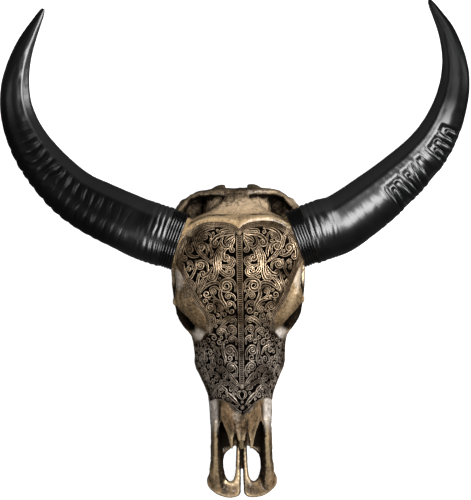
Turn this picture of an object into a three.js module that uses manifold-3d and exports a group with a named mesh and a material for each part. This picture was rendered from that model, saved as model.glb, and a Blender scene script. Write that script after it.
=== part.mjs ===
// Water buffalo skull with its horns, without the lower jaw: every bone and horn at life size.
// Millimetres. +Z is up, the snout points to -Y, the horns sweep out along X and back to +Y.
// The skull lies on its cheek teeth and on the two processes beside the neck joint.

import * as THREE from 'three';
import { LoftGeometry } from 'three/addons/geometries/LoftGeometry.js';
import { mergeVertices } from 'three/addons/utils/BufferGeometryUtils.js';
import Module from 'manifold-3d';

const wasm = await Module();
wasm.setup();

// Driving dimensions

const SUTURE_GAP = 0.3; // between neighbouring bones
const EDGE_TOLERANCE = 0.3; // edges that stand off less than this from their neighbours are merged
const FLOOR_SINK = 2; // how far the tips that rest on the floor run on before they are cut flat
const FOOTPRINT_MIDDLE = { x: 0, y: -7 }; // seen from above, with the horns
const SIDES = { left: -1, right: 1 };

// Stations along the roof of the skull, from the nape to the front of the upper jaw.
// halfWidth is at the height called widest, top is the midline of the back of the nose and forehead.
const ROOF = [
  { y: 94, halfWidth: 17, widest: 140, top: 152, bottom: 112, squareTop: 2.2, squareBottom: 2 },
  { y: 78, halfWidth: 27, widest: 150, top: 165, bottom: 110, squareTop: 2.3, squareBottom: 2 },
  { y: 65, halfWidth: 50, widest: 158, top: 177, bottom: 112, squareTop: 2.5, squareBottom: 2 },
  { y: 52, halfWidth: 80, widest: 164, top: 188, bottom: 112, squareTop: 2.6, squareBottom: 2 },
  { y: 30, halfWidth: 99, widest: 164, top: 200, bottom: 108, squareTop: 2.6, squareBottom: 2 },
  { y: 0, halfWidth: 106, widest: 162, top: 207, bottom: 104, squareTop: 2.6, squareBottom: 2 },
  { y: -30, halfWidth: 105, widest: 160, top: 209, bottom: 102, squareTop: 2.5, squareBottom: 2 },
  { y: -56, halfWidth: 102, widest: 160, top: 207, bottom: 102, squareTop: 2.4, squareBottom: 2 },
  { y: -82, halfWidth: 106, widest: 160, top: 203, bottom: 104, squareTop: 2.3, squareBottom: 2 },
  { y: -102, halfWidth: 92, widest: 154, top: 197, bottom: 94, squareTop: 2.2, squareBottom: 2 },
  { y: -122, halfWidth: 77, widest: 138, top: 190, bottom: 74, squareTop: 2.1, squareBottom: 2.2 },
  { y: -147, halfWidth: 70, widest: 104, top: 181, bottom: 40, squareTop: 2, squareBottom: 2.8 },
  { y: -166, halfWidth: 73, widest: 82, top: 174, bottom: 31, squareTop: 1.9, squareBottom: 3.2 },
  { y: -187, halfWidth: 77, widest: 72, top: 167, bottom: 30, squareTop: 1.9, squareBottom: 3.2 },
  { y: -214, halfWidth: 65.5, widest: 66, top: 158, bottom: 30, squareTop: 2, squareBottom: 3.2 },
  { y: -241, halfWidth: 55, widest: 62, top: 149, bottom: 30, squareTop: 2, squareBottom: 3 },
  { y: -264, halfWidth: 52.5, widest: 58, top: 141, bottom: 30, squareTop: 2, squareBottom: 3 },
  { y: -294, halfWidth: 52, widest: 56, top: 131, bottom: 29, squareTop: 2, squareBottom: 3 },
];

const ROOF_STEPS = 28;
const ROOF_SIDES = 22;

// The walls of the braincase under that roof.
const BRAINCASE = [
  { y: 96, halfWidth: 56, widest: 84, top: 138, bottom: 42, squareTop: 2, squareBottom: 2.2 },
  { y: 70, halfWidth: 57, widest: 96, top: 160, bottom: 44, squareTop: 2, squareBottom: 2.2 },
  { y: 20, halfWidth: 58, widest: 100, top: 180, bottom: 50, squareTop: 2.2, squareBottom: 2.2 },
  { y: -40, halfWidth: 48, widest: 104, top: 180, bottom: 56, squareTop: 2.2, squareBottom: 2.2 },
  { y: -100, halfWidth: 36, widest: 104, top: 160, bottom: 56, squareTop: 2.2, squareBottom: 2.2 },
  { y: -140, halfWidth: 34, widest: 90, top: 140, bottom: 40, squareTop: 2.2, squareBottom: 2.2 },
];

// The air passage of the nose, open at the front.
const NOSE_CAVITY = [
  { y: -205, halfWidth: 10, widest: 84, top: 96, bottom: 70, squareTop: 2, squareBottom: 2 },
  { y: -240, halfWidth: 24, widest: 74, top: 118, bottom: 44, squareTop: 2, squareBottom: 2.4 },
  { y: -275, halfWidth: 34, widest: 68, top: 124, bottom: 38, squareTop: 2, squareBottom: 2.6 },
  { y: -300, halfWidth: 38, widest: 66, top: 118, bottom: 37, squareTop: 2, squareBottom: 2.6 },
];

// The rear nostrils, a channel under the braincase behind the palate.
const REAR_NOSTRILS = [
  { y: -146, halfWidth: 9, widest: 40, top: 46, bottom: 20, squareTop: 2, squareBottom: 4 },
  { y: -116, halfWidth: 15, widest: 44, top: 70, bottom: 10, squareTop: 2, squareBottom: 4 },
  { y: -40, halfWidth: 15, widest: 44, top: 56, bottom: 10, squareTop: 2, squareBottom: 4 },
];

// Nasal bones: each ends in a long outer prong and a short one at the midline.
const NASAL_THICKNESS = 9;
const NASAL_ARCH = { across: 34, drop: 16 }; // fall of the surface at that distance from the midline
const NASAL = [
  { y: -235, halfWidth: 33, top: 150.5 },
  { y: -262, halfWidth: 34, top: 142 },
  { y: -280, halfWidth: 31.5, top: 136 },
  { y: -303, halfWidth: 23.5, top: 128 },
  { y: -318, halfWidth: 20, top: 122 },
  { y: -330, halfWidth: 17.5, top: 117 },
];
const NASAL_MIDLINE_TIP = -316;
const NASAL_NOTCH = { top: -288, middle: 11, inner: 7.5, outer: 14.5, tip: 5.5 };
const NOSE_OPENING = { x: 34.5, top: -275.5, floor: 60 }; // upper end of the opening beside the nasal bones
const NASAL_NOTCH_DROP = { inner: 14, outer: 20 }; // how far below its top the notch bends

// Carving of forehead and face: the main ribs keep the level of the bone, the ground between them is sunk.
// Places are distances from the midline and along the skull, on one half.
const CARVING = { depth: 4, lowest: 84, highest: 230, bend: 3 };
const CARVED_EDGE = [
  [0, 30],
  [14, 37.5],
  [37, 40],
  [58, 37.5],
  [75, 28],
  [87, 15],
  [95, 0],
  [96, -12],
  [88, -34],
  [76, -60],
  [65, -82],
  [49, -104],
  [46, -150],
  [60, -165],
  [88, -168],
  [88, -240],
  [47, -249],
  [32, -247],
  [20, -256],
  [0, -271],
];
const CENTRE_BAR = { half: 4.4, back: 34, front: -222 };
const RIBS = {
  stem: { half: 3, path: [[78, 31], [69, 9], [47, -17]] },
  greatBand: { half: 4.5, path: [[30, 9], [38, -14], [40, -45]] },
  lowerScroll: { half: 3, path: [[36, -26], [23, -39], [7, -32]] },
  upperLeaf: { half: 2.8, path: [[3, 29], [27, 26], [43, 12]] },
  cheekScroll: { half: 2.8, path: [[64, -5], [80, -9], [98, 0]] },
  cheekBlade: { half: 3, path: [[46, -29], [63, -39], [90, -34]] },
  browBand: { half: 3, path: [[4, -52], [38, -52], [72, -72]] },
  doubleBand: { half: 3, path: [[30, -52], [31, -74], [20, -98]] },
  fan: { half: 2.8, path: [[23, -94], [37, -81], [66, -83]] },
  longDiagonal: { half: 2.8, path: [[3, -103], [24, -115], [46, -138]] },
  faceHeart: { half: 2.8, path: [[3, -152], [20, -149], [30, -164]] },
  faceStem: { half: 3, path: [[31, -146], [29, -168], [22, -202]] },
  sideStem: { half: 3, path: [[40, -137], [56, -166], [72, -198]] },
  sideBranch: { half: 3, path: [[27, -186], [46, -196], [66, -222]] },
  lowerV: { half: 3, path: [[24, -198], [14, -212], [3, -223]] },
  arch: { half: 3, path: [[3, -230], [28, -217], [50, -247]] },
};

// Orbit: a bony ring that faces outwards, forwards and a little up.
const ORBIT = { x: 83, y: -109, z: 135, halfLong: 29, halfTall: 31, rim: 5.5, socket: 25, depth: 64 };
const ORBIT_FACING = { x: 0.81, y: -0.455, z: 0.37 };

// Premaxillae: the flat plate with its long opening, and the wall that rises from it to the nasal bones.
const PLATE_TOP = 40;
const PLATE_BOTTOM = 27;
const PLATE_BEVEL = 4;
const SNOUT_TIP = -420;
const SNOUT_HALF_WIDTH = 60;
const SNOUT_SLIT = 2.2;

// The opening for the spinal cord, seen from behind between the two neck joints.
const SPINAL_CANAL = { radius: 17, depth: 60, y: 120, z: 52, notch: 104 };

// Cheek teeth, from the first premolar to the last molar.
const TOOTH_LENGTHS = [14, 17, 18, 23, 27, 28];
const TOOTH_WIDTHS = [15, 18, 20, 23, 24, 22];
const TOOTH_ROW = { front: -276, xFront: 36, xBack: 45, crown: 36, spacing: 0.6 };

// Horns: one path for each side, measured along the middle of the horn, and one taper for both.
const HORN_ROOT = { x: 94, y: 15, z: 160 };
const HORN_AXIS = { x: 0.944, y: 0.324, z: -0.06 };
const BINDING_LENGTH = 24;
const HORN_LEAD = 26; // straight run beyond the binding
const HORN_PATHS = {
  left: [
    [176, 46, 151],
    [262, 92, 147],
    [320.5, 152, 150],
    [353.5, 213, 158],
    [361.5, 272, 168],
    [346, 334.5, 178],
    [310, 402, 190],
  ],
  right: [
    [178, 45, 151],
    [252.5, 99, 147],
    [318.5, 161.5, 150],
    [351.5, 222, 158],
    [363.5, 284, 168],
    [351.5, 346, 180],
    [320.5, 404.5, 190],
  ],
};
const HORN_TAPER = [
  { t: 0, half: 49 },
  { t: 0.06, half: 49 },
  { t: 0.12, half: 47.5 },
  { t: 0.25, half: 44.5 },
  { t: 0.5, half: 35 },
  { t: 0.75, half: 22.5 },
  { t: 0.9, half: 13.5 },
  { t: 0.97, half: 7 },
  { t: 1, half: 2.5 },
];
const HORN_ROOT_HALF = 47.5;
const HORN_FLATNESS = 0.78; // thickness over width
const HORN_LEAN = 0.22; // how far the crest lies towards the inside of the bend
const WRINKLES = { count: 13, reach: 0.56, height: 0.035 };
const CORE_SHARE = 0.9; // the bony core's size against the horn's
const CORE_STOPS = [
  { along: -58, share: 0.6 },
  { along: -24, share: 0.77 },
  { along: 0, share: CORE_SHARE },
  { along: BINDING_LENGTH, share: CORE_SHARE },
];
const CORD = 3.4; // thickness of the cord bound round each horn's root

// Colours

const BONE = { color: 0x8a7252, roughness: 0.5, metalness: 0.25 };
const HORN = { color: 0x121212, roughness: 0.3, metalness: 0 };
const CORD_LOOK = { color: 0x0c0c0c, roughness: 0.4, metalness: 0 };

// Geometry helpers

function mix(a, b, share) {
  return a + (b - a) * share;
}

// Smooth values between stations that are sorted by the field called key.
function profile(stations, key) {
  const sorted = [...stations].sort((a, b) => a[key] - b[key]);
  const fields = Object.keys(sorted[0]);
  const places = sorted.map((s) => s[key]);
  const values = sorted.flatMap((s) => fields.map((f) => s[f]));
  const curve = new THREE.CubicInterpolant(places, values, fields.length);
  return (place) => {
    const found = curve.evaluate(place);
    return Object.fromEntries(fields.map((f, i) => [f, found[i]]));
  };
}

// A rounded box of power n: 2 is an ellipse, more is squarer.
function squared(angle, power) {
  const bend = (v) => Math.sign(v) * Math.abs(v) ** (2 / power);
  return [bend(Math.cos(angle)), bend(Math.sin(angle))];
}

function closedSolid(geometry) {
  const bare = new THREE.BufferGeometry().copy(geometry);
  bare.deleteAttribute('normal');
  bare.deleteAttribute('uv');
  const merged = mergeVertices(bare, 1e-3);
  const corners = [...merged.index.array];
  const triangles = [];
  for (let i = 0; i < corners.length; i += 3) {
    const [a, b, c] = corners.slice(i, i + 3);
    if (a !== b && b !== c && c !== a) triangles.push(a, b, c);
  }
  const make = (triVerts) =>
    new wasm.Manifold(
      new wasm.Mesh({ numProp: 3, vertProperties: merged.attributes.position.array, triVerts }),
    );
  const made = make(new Uint32Array(triangles));
  return made.volume() > 0 ? made : make(new Uint32Array(triangles.reverse()));
}

function centreOf(section) {
  return section.reduce((sum, p) => sum.add(p), new THREE.Vector3()).divideScalar(section.length);
}

// Sections turn anticlockwise seen from the loft's far end, whichever way they were drawn.
function loft(sections) {
  const centre = centreOf(sections[0]);
  const spokes = sections[0].map((p) => p.clone().sub(centre));
  const turn = new THREE.Vector3();
  spokes.forEach((p, i) => {
    turn.add(new THREE.Vector3().crossVectors(p, spokes[(i + 1) % spokes.length]));
  });
  if (turn.dot(centreOf(sections[1]).sub(centre)) < 0) sections.forEach((s) => s.reverse());
  return closedSolid(new LoftGeometry(sections, { capStart: true, capEnd: true }));
}

// A body whose sections stand across Y.
function bodyAlongY(stations, steps, sides) {
  const at = profile(stations, 'y');
  const back = Math.max(...stations.map((s) => s.y));
  const front = Math.min(...stations.map((s) => s.y));
  const sections = [];
  for (let i = 0; i <= steps; i++) {
    const s = at(mix(back, front, i / steps));
    const section = [];
    for (let k = 0; k < sides; k++) {
      const angle = (2 * Math.PI * k) / sides;
      const [across, up] = squared(angle, Math.sin(angle) > 0 ? s.squareTop : s.squareBottom);
      const rise = up > 0 ? s.top - s.widest : s.widest - s.bottom;
      section.push(new THREE.Vector3(s.halfWidth * across, s.y, s.widest + rise * up));
    }
    sections.push(section);
  }
  return loft(sections);
}

// A bar along a smooth path. Each stop is [x, y, z, half width across the path, half height].
function bar(stops, { steps = 12, sides = 10, power = 2, up = new THREE.Vector3(0, 0, 1) } = {}) {
  const path = new THREE.CatmullRomCurve3(stops.map(([x, y, z]) => new THREE.Vector3(x, y, z)));
  const size = profile(
    stops.map(([, , , across, high], i) => ({ t: i / (stops.length - 1), across, high })),
    't',
  );
  const sections = [];
  for (let i = 0; i <= steps; i++) {
    const t = i / steps;
    const centre = path.getPoint(t);
    const sideways = new THREE.Vector3().crossVectors(path.getTangent(t), up).normalize();
    const rise = new THREE.Vector3().crossVectors(sideways, path.getTangent(t)).normalize();
    const { across, high } = size(t);
    const section = [];
    for (let k = 0; k < sides; k++) {
      const [a, b] = squared((2 * Math.PI * (k + 0.5)) / sides, power);
      const point = centre.clone().addScaledVector(sideways, a * across);
      section.push(point.addScaledVector(rise, b * high));
    }
    sections.push(section);
  }
  return loft(sections);
}

function ellipsoid([x, y, z], [rx, ry, rz], sides = 14) {
  const ball = new THREE.SphereGeometry(1, sides, Math.round(sides * 0.6));
  return closedSolid(ball.scale(rx, ry, rz).translate(x, y, z));
}

function prism(outline, bottom, top) {
  const shape = new THREE.Shape(outline.map(([x, y]) => new THREE.Vector2(x, y)));
  const block = new THREE.ExtrudeGeometry(shape, { depth: top - bottom, bevelEnabled: false });
  return closedSolid(block.translate(0, 0, bottom));
}

function united(solids) {
  return solids.reduce((all, one) => all.add(one));
}

function largest(solid) {
  const bodies = solid.decompose();
  return bodies.reduce((best, body) => (body.volume() > best.volume() ? body : best));
}

// Bones

function occiput() {
  const crest = bar(
    [
      [-101.5, 58.5, 82, 4, 14],
      [-89, 78, 84, 4.5, 27],
      [-71.5, 93, 88, 5, 42],
      [-42, 97.5, 92, 6.5, 50],
      [0, 95, 96, 9, 53],
      [42, 97.5, 92, 6.5, 50],
      [71.5, 93, 88, 5, 42],
      [89, 78, 84, 4.5, 27],
      [101.5, 58.5, 82, 4, 14],
    ],
    { steps: 16, sides: 8, power: 2.8 },
  );
  const pieces = [crest];
  for (const side of Object.values(SIDES)) {
    pieces.push(ellipsoid([24 * side, 95.5, 34], [24, 17, 27], 12));
    const process = [
      [54 * side, 80, 66, 16, 13],
      [56 * side, 80, 38, 10, 9],
      [53 * side, 79, 14, 7.5, 6],
      [52 * side, 78, -FLOOR_SINK, 6.5, 5],
    ];
    pieces.push(bar(process, { steps: 6, sides: 8, power: 2.4, up: new THREE.Vector3(0, 1, 0) }));
  }
  return united(pieces);
}

// The canal and the notch between the two neck joints above it.
function spinalCanal() {
  const { radius, depth, y, z, notch } = SPINAL_CANAL;
  const canal = new THREE.CylinderGeometry(radius, radius * 0.8, depth, 12);
  const opening = closedSolid(canal.translate(0, y - depth / 2, z));
  const half = radius + 2;
  return opening.add(prism([[-half, notch], [half, notch], [half, y], [-half, y]], 0, z));
}

function orbitAxis(side) {
  return new THREE.Vector3(ORBIT_FACING.x * side, ORBIT_FACING.y, ORBIT_FACING.z).normalize();
}

function orbitRing(side) {
  const ring = new THREE.TorusGeometry(1, ORBIT.rim / ORBIT.halfLong, 6, 18);
  ring.scale(ORBIT.halfLong, ORBIT.halfTall, ORBIT.halfLong);
  const facing = new THREE.Matrix4().lookAt(
    orbitAxis(side),
    new THREE.Vector3(),
    new THREE.Vector3(0, 0, 1),
  );
  ring.applyMatrix4(facing).translate(ORBIT.x * side, ORBIT.y, ORBIT.z);
  return closedSolid(ring);
}

function orbitSocket(side) {
  const outside = 24;
  const length = ORBIT.depth + outside;
  const socket = new THREE.CylinderGeometry(ORBIT.socket, 9, length, 14);
  socket.translate(0, outside - length / 2, 0);
  const turn = new THREE.Quaternion().setFromUnitVectors(
    new THREE.Vector3(0, 1, 0),
    orbitAxis(side),
  );
  socket.applyQuaternion(turn).translate(ORBIT.x * side, ORBIT.y, ORBIT.z);
  return closedSolid(socket);
}

function cheek(side) {
  const arch = bar(
    [
      [96 * side, 52, 80, 9, 9],
      [106 * side, 14, 84, 6, 9],
      [107 * side, -34, 90, 5, 9],
      [103 * side, -78, 97, 5.5, 10],
      [90 * side, -113, 97, 7, 14],
      [69 * side, -146, 88, 8, 20],
      [62 * side, -182, 74, 12, 14],
    ],
    { steps: 14, sides: 8, power: 2.4 },
  );
  const postorbitalBar = bar(
    [
      [101 * side, -80, 166, 8, 8],
      [104 * side, -82, 132, 5, 7],
      [104 * side, -80, 98, 5, 8],
    ],
    { steps: 6, sides: 8, up: new THREE.Vector3(0, 1, 0) },
  );
  const tearBone = ellipsoid([63 * side, -134, 118], [12, 26, 38], 10);
  const jointShelf = ellipsoid([76 * side, 47, 76], [36, 46, 15], 10);
  return united([arch, postorbitalBar, tearBone, jointShelf]);
}

function skullBase() {
  const pieces = [
    bar(
      [
        [0, 84, 46, 24, 12],
        [0, 20, 50, 20, 13],
        [0, -60, 60, 14, 12],
      ],
      { steps: 8, sides: 10, power: 2.6 },
    ),
  ];
  for (const side of Object.values(SIDES)) {
    pieces.push(ellipsoid([45 * side, 40, 50], [14, 18, 16], 8));
    const pterygoid = [
      [22 * side, -44, 70, 3, 18],
      [21 * side, -80, 62, 3, 28],
      [22 * side, -128, 58, 4, 32],
    ];
    pieces.push(bar(pterygoid, { steps: 6, sides: 8, power: 3 }));
  }
  return united(pieces);
}

// The bony core of the horn, from inside the forehead to the end of the binding.
function hornCore(side) {
  const sections = CORE_STOPS.map(({ along, share }) =>
    hornSection(hornRootPoint(side, along), hornRootFrame(side), HORN_ROOT_HALF * share, 12),
  );
  return loft(sections);
}

function teeth(side) {
  const made = [];
  let y = TOOTH_ROW.front;
  const total = TOOTH_LENGTHS.reduce((sum, length) => sum + length, 0);
  TOOTH_LENGTHS.forEach((length, i) => {
    const middle = y + length / 2;
    const share = (middle - TOOTH_ROW.front) / total;
    const x = mix(TOOTH_ROW.xFront, TOOTH_ROW.xBack, share) * side;
    const half = length / 2 - TOOTH_ROW.spacing / 2;
    const crown = [
      [x, middle, -FLOOR_SINK, half * 0.86, TOOTH_WIDTHS[i] * 0.42],
      [x, middle, TOOTH_ROW.crown * 0.2, half, TOOTH_WIDTHS[i] * 0.48],
      [x, middle, TOOTH_ROW.crown, half, TOOTH_WIDTHS[i] * 0.5],
    ];
    made.push(bar(crown, { steps: 2, sides: 8, power: 3.4, up: new THREE.Vector3(side, 0, 0) }));
    y += length;
  });
  return made;
}

function nasalBones() {
  const at = profile(NASAL, 'y');
  const back = NASAL[0].y;
  const front = NASAL[NASAL.length - 1].y;
  const steps = 9;
  const spans = 8;
  const sections = [];
  for (let i = 0; i <= steps; i++) {
    const y = mix(back, front, i / steps);
    const { halfWidth, top } = at(y);
    const arch = (x) => top - NASAL_ARCH.drop * (x / NASAL_ARCH.across) ** 2;
    const section = [];
    for (let k = 0; k <= spans; k++) {
      const x = mix(halfWidth, -halfWidth, k / spans);
      section.push(new THREE.Vector3(x, y, arch(x)));
    }
    for (let k = 0; k <= spans; k++) {
      const x = mix(-halfWidth, halfWidth, k / spans);
      section.push(new THREE.Vector3(x, y, arch(x) - NASAL_THICKNESS));
    }
    sections.push(section);
  }
  const { top, middle, inner, outer, tip } = NASAL_NOTCH;
  const beyond = front - 10;
  const notches = Object.values(SIDES).map((side) =>
    prism(
      [
        [middle * side, top],
        [inner * side, top - NASAL_NOTCH_DROP.inner],
        [tip * side, NASAL_MIDLINE_TIP],
        [0, NASAL_MIDLINE_TIP],
        [0, beyond],
        [outer * side, beyond],
        [outer * side, front + 4],
        [mix(middle, outer, 0.45) * side, top - NASAL_NOTCH_DROP.outer],
      ],
      PLATE_TOP,
      NASAL[0].top + 10,
    ),
  );
  return loft(sections).subtract(united(notches));
}

// The upper end of the opening between nasal bone and premaxilla, cut into the front of the upper jaw.
function noseOpening(side) {
  const { x, top, floor } = NOSE_OPENING;
  const jawFront = ROOF[ROOF.length - 1].y;
  const outline = [
    [x * side, top],
    [(x + 2.5) * side, jawFront - 6],
    [(x - 10) * side, jawFront - 6],
  ];
  return prism(outline, floor, NASAL[0].top);
}

// A carved rib, seen from above as a band along a smooth path.
function rib({ half, path }, side) {
  const middle = new THREE.SplineCurve(path.map(([x, y]) => new THREE.Vector2(x * side, y)));
  const outline = [];
  for (let i = 0; i <= CARVING.bend; i++) {
    const { x, y } = middle.getPoint(i / CARVING.bend);
    const along = middle.getTangent(i / CARVING.bend);
    outline.push([x - along.y * half, y + along.x * half]);
    outline.unshift([x + along.y * half, y - along.x * half]);
  }
  return prism(outline, CARVING.lowest, CARVING.highest);
}

// What the carver takes away: everything over the sunk surface, apart from the ribs.
function carvedGround() {
  const { depth, lowest, highest } = CARVING;
  const mirrored = CARVED_EDGE.map(([x, y]) => [-x, y]).reverse();
  const panel = prism([...CARVED_EDGE, ...mirrored.slice(1, -1)], lowest, highest);
  const { half, back, front } = CENTRE_BAR;
  const ribs = [prism([[-half, back], [-half, front], [half, front], [half, back]], lowest, highest)];
  for (const side of Object.values(SIDES)) ribs.push(...Object.values(RIBS).map((r) => rib(r, side)));
  const sunk = ROOF.map((s) => ({ ...s, halfWidth: s.halfWidth - depth, top: s.top - depth }));
  return panel.subtract(united(ribs)).subtract(bodyAlongY(sunk, ROOF_STEPS, ROOF_SIDES));
}

function snoutPlate(side) {
  const outline = new THREE.Shape();
  outline.moveTo(SNOUT_SLIT * 0.5, -270);
  outline.lineTo(SNOUT_SLIT * 0.5, -330);
  outline.lineTo(SNOUT_SLIT * 1.2, SNOUT_TIP + 8);
  outline.bezierCurveTo(8, SNOUT_TIP - 2, 26, SNOUT_TIP, 38, SNOUT_TIP + 5);
  outline.bezierCurveTo(50, SNOUT_TIP + 11, SNOUT_HALF_WIDTH, -401, SNOUT_HALF_WIDTH, -390);
  outline.bezierCurveTo(SNOUT_HALF_WIDTH, -381, 52.5, -377, 52.5, -365);
  outline.lineTo(51.5, -270);
  const opening = new THREE.Path();
  opening.moveTo(8.5, -326);
  opening.bezierCurveTo(14, -337, 32, -335, 32, -357);
  opening.bezierCurveTo(32, -382, 25, -392, 19.5, -392);
  opening.bezierCurveTo(12, -392, 10.5, -380, 10, -360);
  opening.lineTo(8.5, -326);
  outline.holes.push(opening);
  const plate = new THREE.ExtrudeGeometry(outline, {
    depth: PLATE_TOP - PLATE_BOTTOM - 2 * PLATE_BEVEL,
    curveSegments: 5,
    bevelSegments: 1,
    bevelThickness: PLATE_BEVEL,
    bevelSize: PLATE_BEVEL * 0.5,
    bevelOffset: -PLATE_BEVEL * 0.5,
  });
  plate.translate(0, 0, PLATE_BOTTOM + PLATE_BEVEL);
  if (side < 0) plate.scale(-1, 1, 1);
  return closedSolid(plate);
}

function snoutWall(side) {
  return bar(
    [
      [41 * side, -272, 70, 10, 46],
      [42 * side, -310, 62, 9, 35],
      [43 * side, -346, 52, 9.5, 23],
      [44 * side, -377, 42, 12, 12],
      [42 * side, -402, 36, 12, 7],
    ],
    { steps: 9, sides: 8, power: 1.7 },
  );
}

function nasalSeptum() {
  return bar(
    [
      [0, -215, 84, 3, 40],
      [0, -265, 78, 3, 48],
      [0, -300, 62, 4, 30],
      [0, -330, 44, 5, 10],
    ],
    { steps: 6, sides: 8, power: 3 },
  );
}

// Horns

function hornFrame(tangent, side) {
  const inward = new THREE.Vector3(-tangent.y * side, tangent.x * side, 0).normalize();
  const rise = new THREE.Vector3().crossVectors(tangent, inward).multiplyScalar(side).normalize();
  return { inward, rise };
}

function hornRootAxis(side) {
  return new THREE.Vector3(HORN_AXIS.x * side, HORN_AXIS.y, HORN_AXIS.z).normalize();
}

function hornRootPoint(side, along) {
  const root = new THREE.Vector3(HORN_ROOT.x * side, HORN_ROOT.y, HORN_ROOT.z);
  return root.addScaledVector(hornRootAxis(side), along);
}

function hornRootFrame(side) {
  return hornFrame(hornRootAxis(side), side);
}

// A rounded three-cornered section whose crest leans to the inside of the bend.
function hornSection(centre, { inward, rise }, half, sides, ripple = () => 0) {
  const section = [];
  for (let k = 0; k < sides; k++) {
    const angle = (2 * Math.PI * k) / sides;
    const swell = 1 + 0.035 * Math.cos(3 * angle - 0.9) + ripple(angle);
    const a = half * swell * (Math.cos(angle) + HORN_LEAN * Math.sin(angle));
    const b = half * swell * HORN_FLATNESS * Math.sin(angle);
    section.push(centre.clone().addScaledVector(inward, a).addScaledVector(rise, b));
  }
  return section;
}

// Cross wrinkles, strong near the root and on the outside of the bend, gone before the smooth tip.
function wrinkle(t, angle) {
  if (t > WRINKLES.reach) return 0;
  const fade = Math.sin((Math.PI * t) / WRINKLES.reach) ** 0.5;
  const wave = Math.cos((2 * Math.PI * WRINKLES.count * t) / WRINKLES.reach + 0.8 * Math.sin(angle));
  return WRINKLES.height * fade * wave * (0.65 - 0.35 * Math.cos(angle));
}

function horn(name) {
  const side = SIDES[name];
  const start = hornRootPoint(side, BINDING_LENGTH + SUTURE_GAP);
  const stops = HORN_PATHS[name].map(([x, y, z]) => new THREE.Vector3(x * side, y, z));
  const lead = hornRootPoint(side, BINDING_LENGTH + HORN_LEAD);
  const path = new THREE.CatmullRomCurve3([start, lead, ...stops]);
  const taper = profile(HORN_TAPER, 't');
  const steps = 46;
  const sections = [];
  for (let i = 0; i <= steps; i++) {
    const t = i / steps;
    const frame = i === 0 ? hornRootFrame(side) : hornFrame(path.getTangentAt(t), side);
    sections.push(
      hornSection(path.getPointAt(t), frame, taper(t).half, 12, (angle) => wrinkle(t, angle)),
    );
  }
  return loft(sections);
}

// The cord bound round the root: turns side by side, seen as a ribbed collar.
function binding(name) {
  const side = SIDES[name];
  const frame = hornRootFrame(side);
  const turns = Math.round(BINDING_LENGTH / CORD) - 1;
  const length = BINDING_LENGTH - 1;
  const outer = [];
  for (let i = 0; i <= turns * 2; i++) {
    const half = HORN_ROOT_HALF * CORE_SHARE + 0.4 + CORD * (i % 2 ? 1.05 : 0.6);
    outer.push(hornSection(hornRootPoint(side, 0.5 + (length * i) / (turns * 2)), frame, half, 12));
  }
  const inner = [-3, length + 4].map((along) =>
    hornSection(hornRootPoint(side, along), frame, HORN_ROOT_HALF * CORE_SHARE + SUTURE_GAP, 12),
  );
  return loft(outer).subtract(loft(inner));
}

// The bones in one piece, before they are parted. Whatever reaches the floor ends there in a flat.

function wholeSkull() {
  const pieces = [
    bodyAlongY(ROOF, ROOF_STEPS, ROOF_SIDES),
    bodyAlongY(BRAINCASE, 7, 14),
    occiput(),
    skullBase(),
    nasalBones(),
  ];
  for (const side of Object.values(SIDES)) {
    pieces.push(orbitRing(side), cheek(side), hornCore(side));
    pieces.push(snoutPlate(side), snoutWall(side), ...teeth(side));
  }
  const cuts = [bodyAlongY(REAR_NOSTRILS, 4, 8), spinalCanal()];
  for (const side of Object.values(SIDES)) cuts.push(orbitSocket(side), noseOpening(side));
  const noseOpen = united(pieces).subtract(bodyAlongY(NOSE_CAVITY, 6, 12));
  const whole = noseOpen.add(nasalSeptum()).subtract(united(cuts)).subtract(carvedGround());
  return whole.trimByPlane([0, 0, 1], 0).simplify(EDGE_TOLERANCE);
}

// Parting: each region is bounded by planes given as a point and the direction that faces out of the region.

const REACH = 1200;

function region(planes, growth) {
  let block = closedSolid(new THREE.BoxGeometry(REACH, REACH, REACH));
  for (const { through, facing } of planes) {
    const out = new THREE.Vector3(...facing).normalize();
    const distance = out.dot(new THREE.Vector3(...through)) + growth;
    block = block.trimByPlane(out.clone().negate().toArray(), -distance);
  }
  return block;
}

// Suture planes

const midline = (side) => ({ through: [0, 0, 0], facing: [-side, 0, 0] });
const OCCIPUT_PLANES = [{ through: [0, 64, 0], facing: [0, -1, 0] }];
const nasalPlanes = (side) => [
  midline(side),
  { through: [12 * side, -150, 0], facing: [0.86 * side, 0.5, 0] },
  { through: [34.5 * side, -260, 0], facing: [0.985 * side, 0.13, 0] },
  { through: [0, -240, 136], facing: [0, 0.32, -0.947] },
];
const snoutPlanes = (side) => [
  midline(side),
  { through: [0, -292, 30], facing: [0, 1, 0.18] },
];
const upperJawPlanes = (side) => [
  midline(side),
  { through: [0, -142, 100], facing: [0, 1, 0.12] },
];
const cheekPlanes = (side) => [
  { through: [62 * side, 0, 0], facing: [-side, 0, 0] },
  { through: [0, 0, 112], facing: [0, 0, 1] },
  { through: [0, -30, 90], facing: [0, 1, 0.3] },
];

function bonesOf(whole) {
  const bones = new Map();
  let rest = whole;
  const part = (name, planes) => {
    bones.set(name, largest(rest.intersect(region(planes, -SUTURE_GAP / 2))));
    rest = rest.subtract(region(planes, SUTURE_GAP / 2));
  };
  part('occipital_bone', OCCIPUT_PLANES);
  for (const [name, side] of Object.entries(SIDES)) {
    part(`nasal_bone_${name}`, nasalPlanes(side));
    part(`premaxilla_${name}`, snoutPlanes(side));
    part(`maxilla_with_teeth_${name}`, upperJawPlanes(side));
    part(`cheek_bone_${name}`, cheekPlanes(side));
  }
  bones.set('cranium', largest(rest));
  return bones;
}

// Assembly

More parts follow.
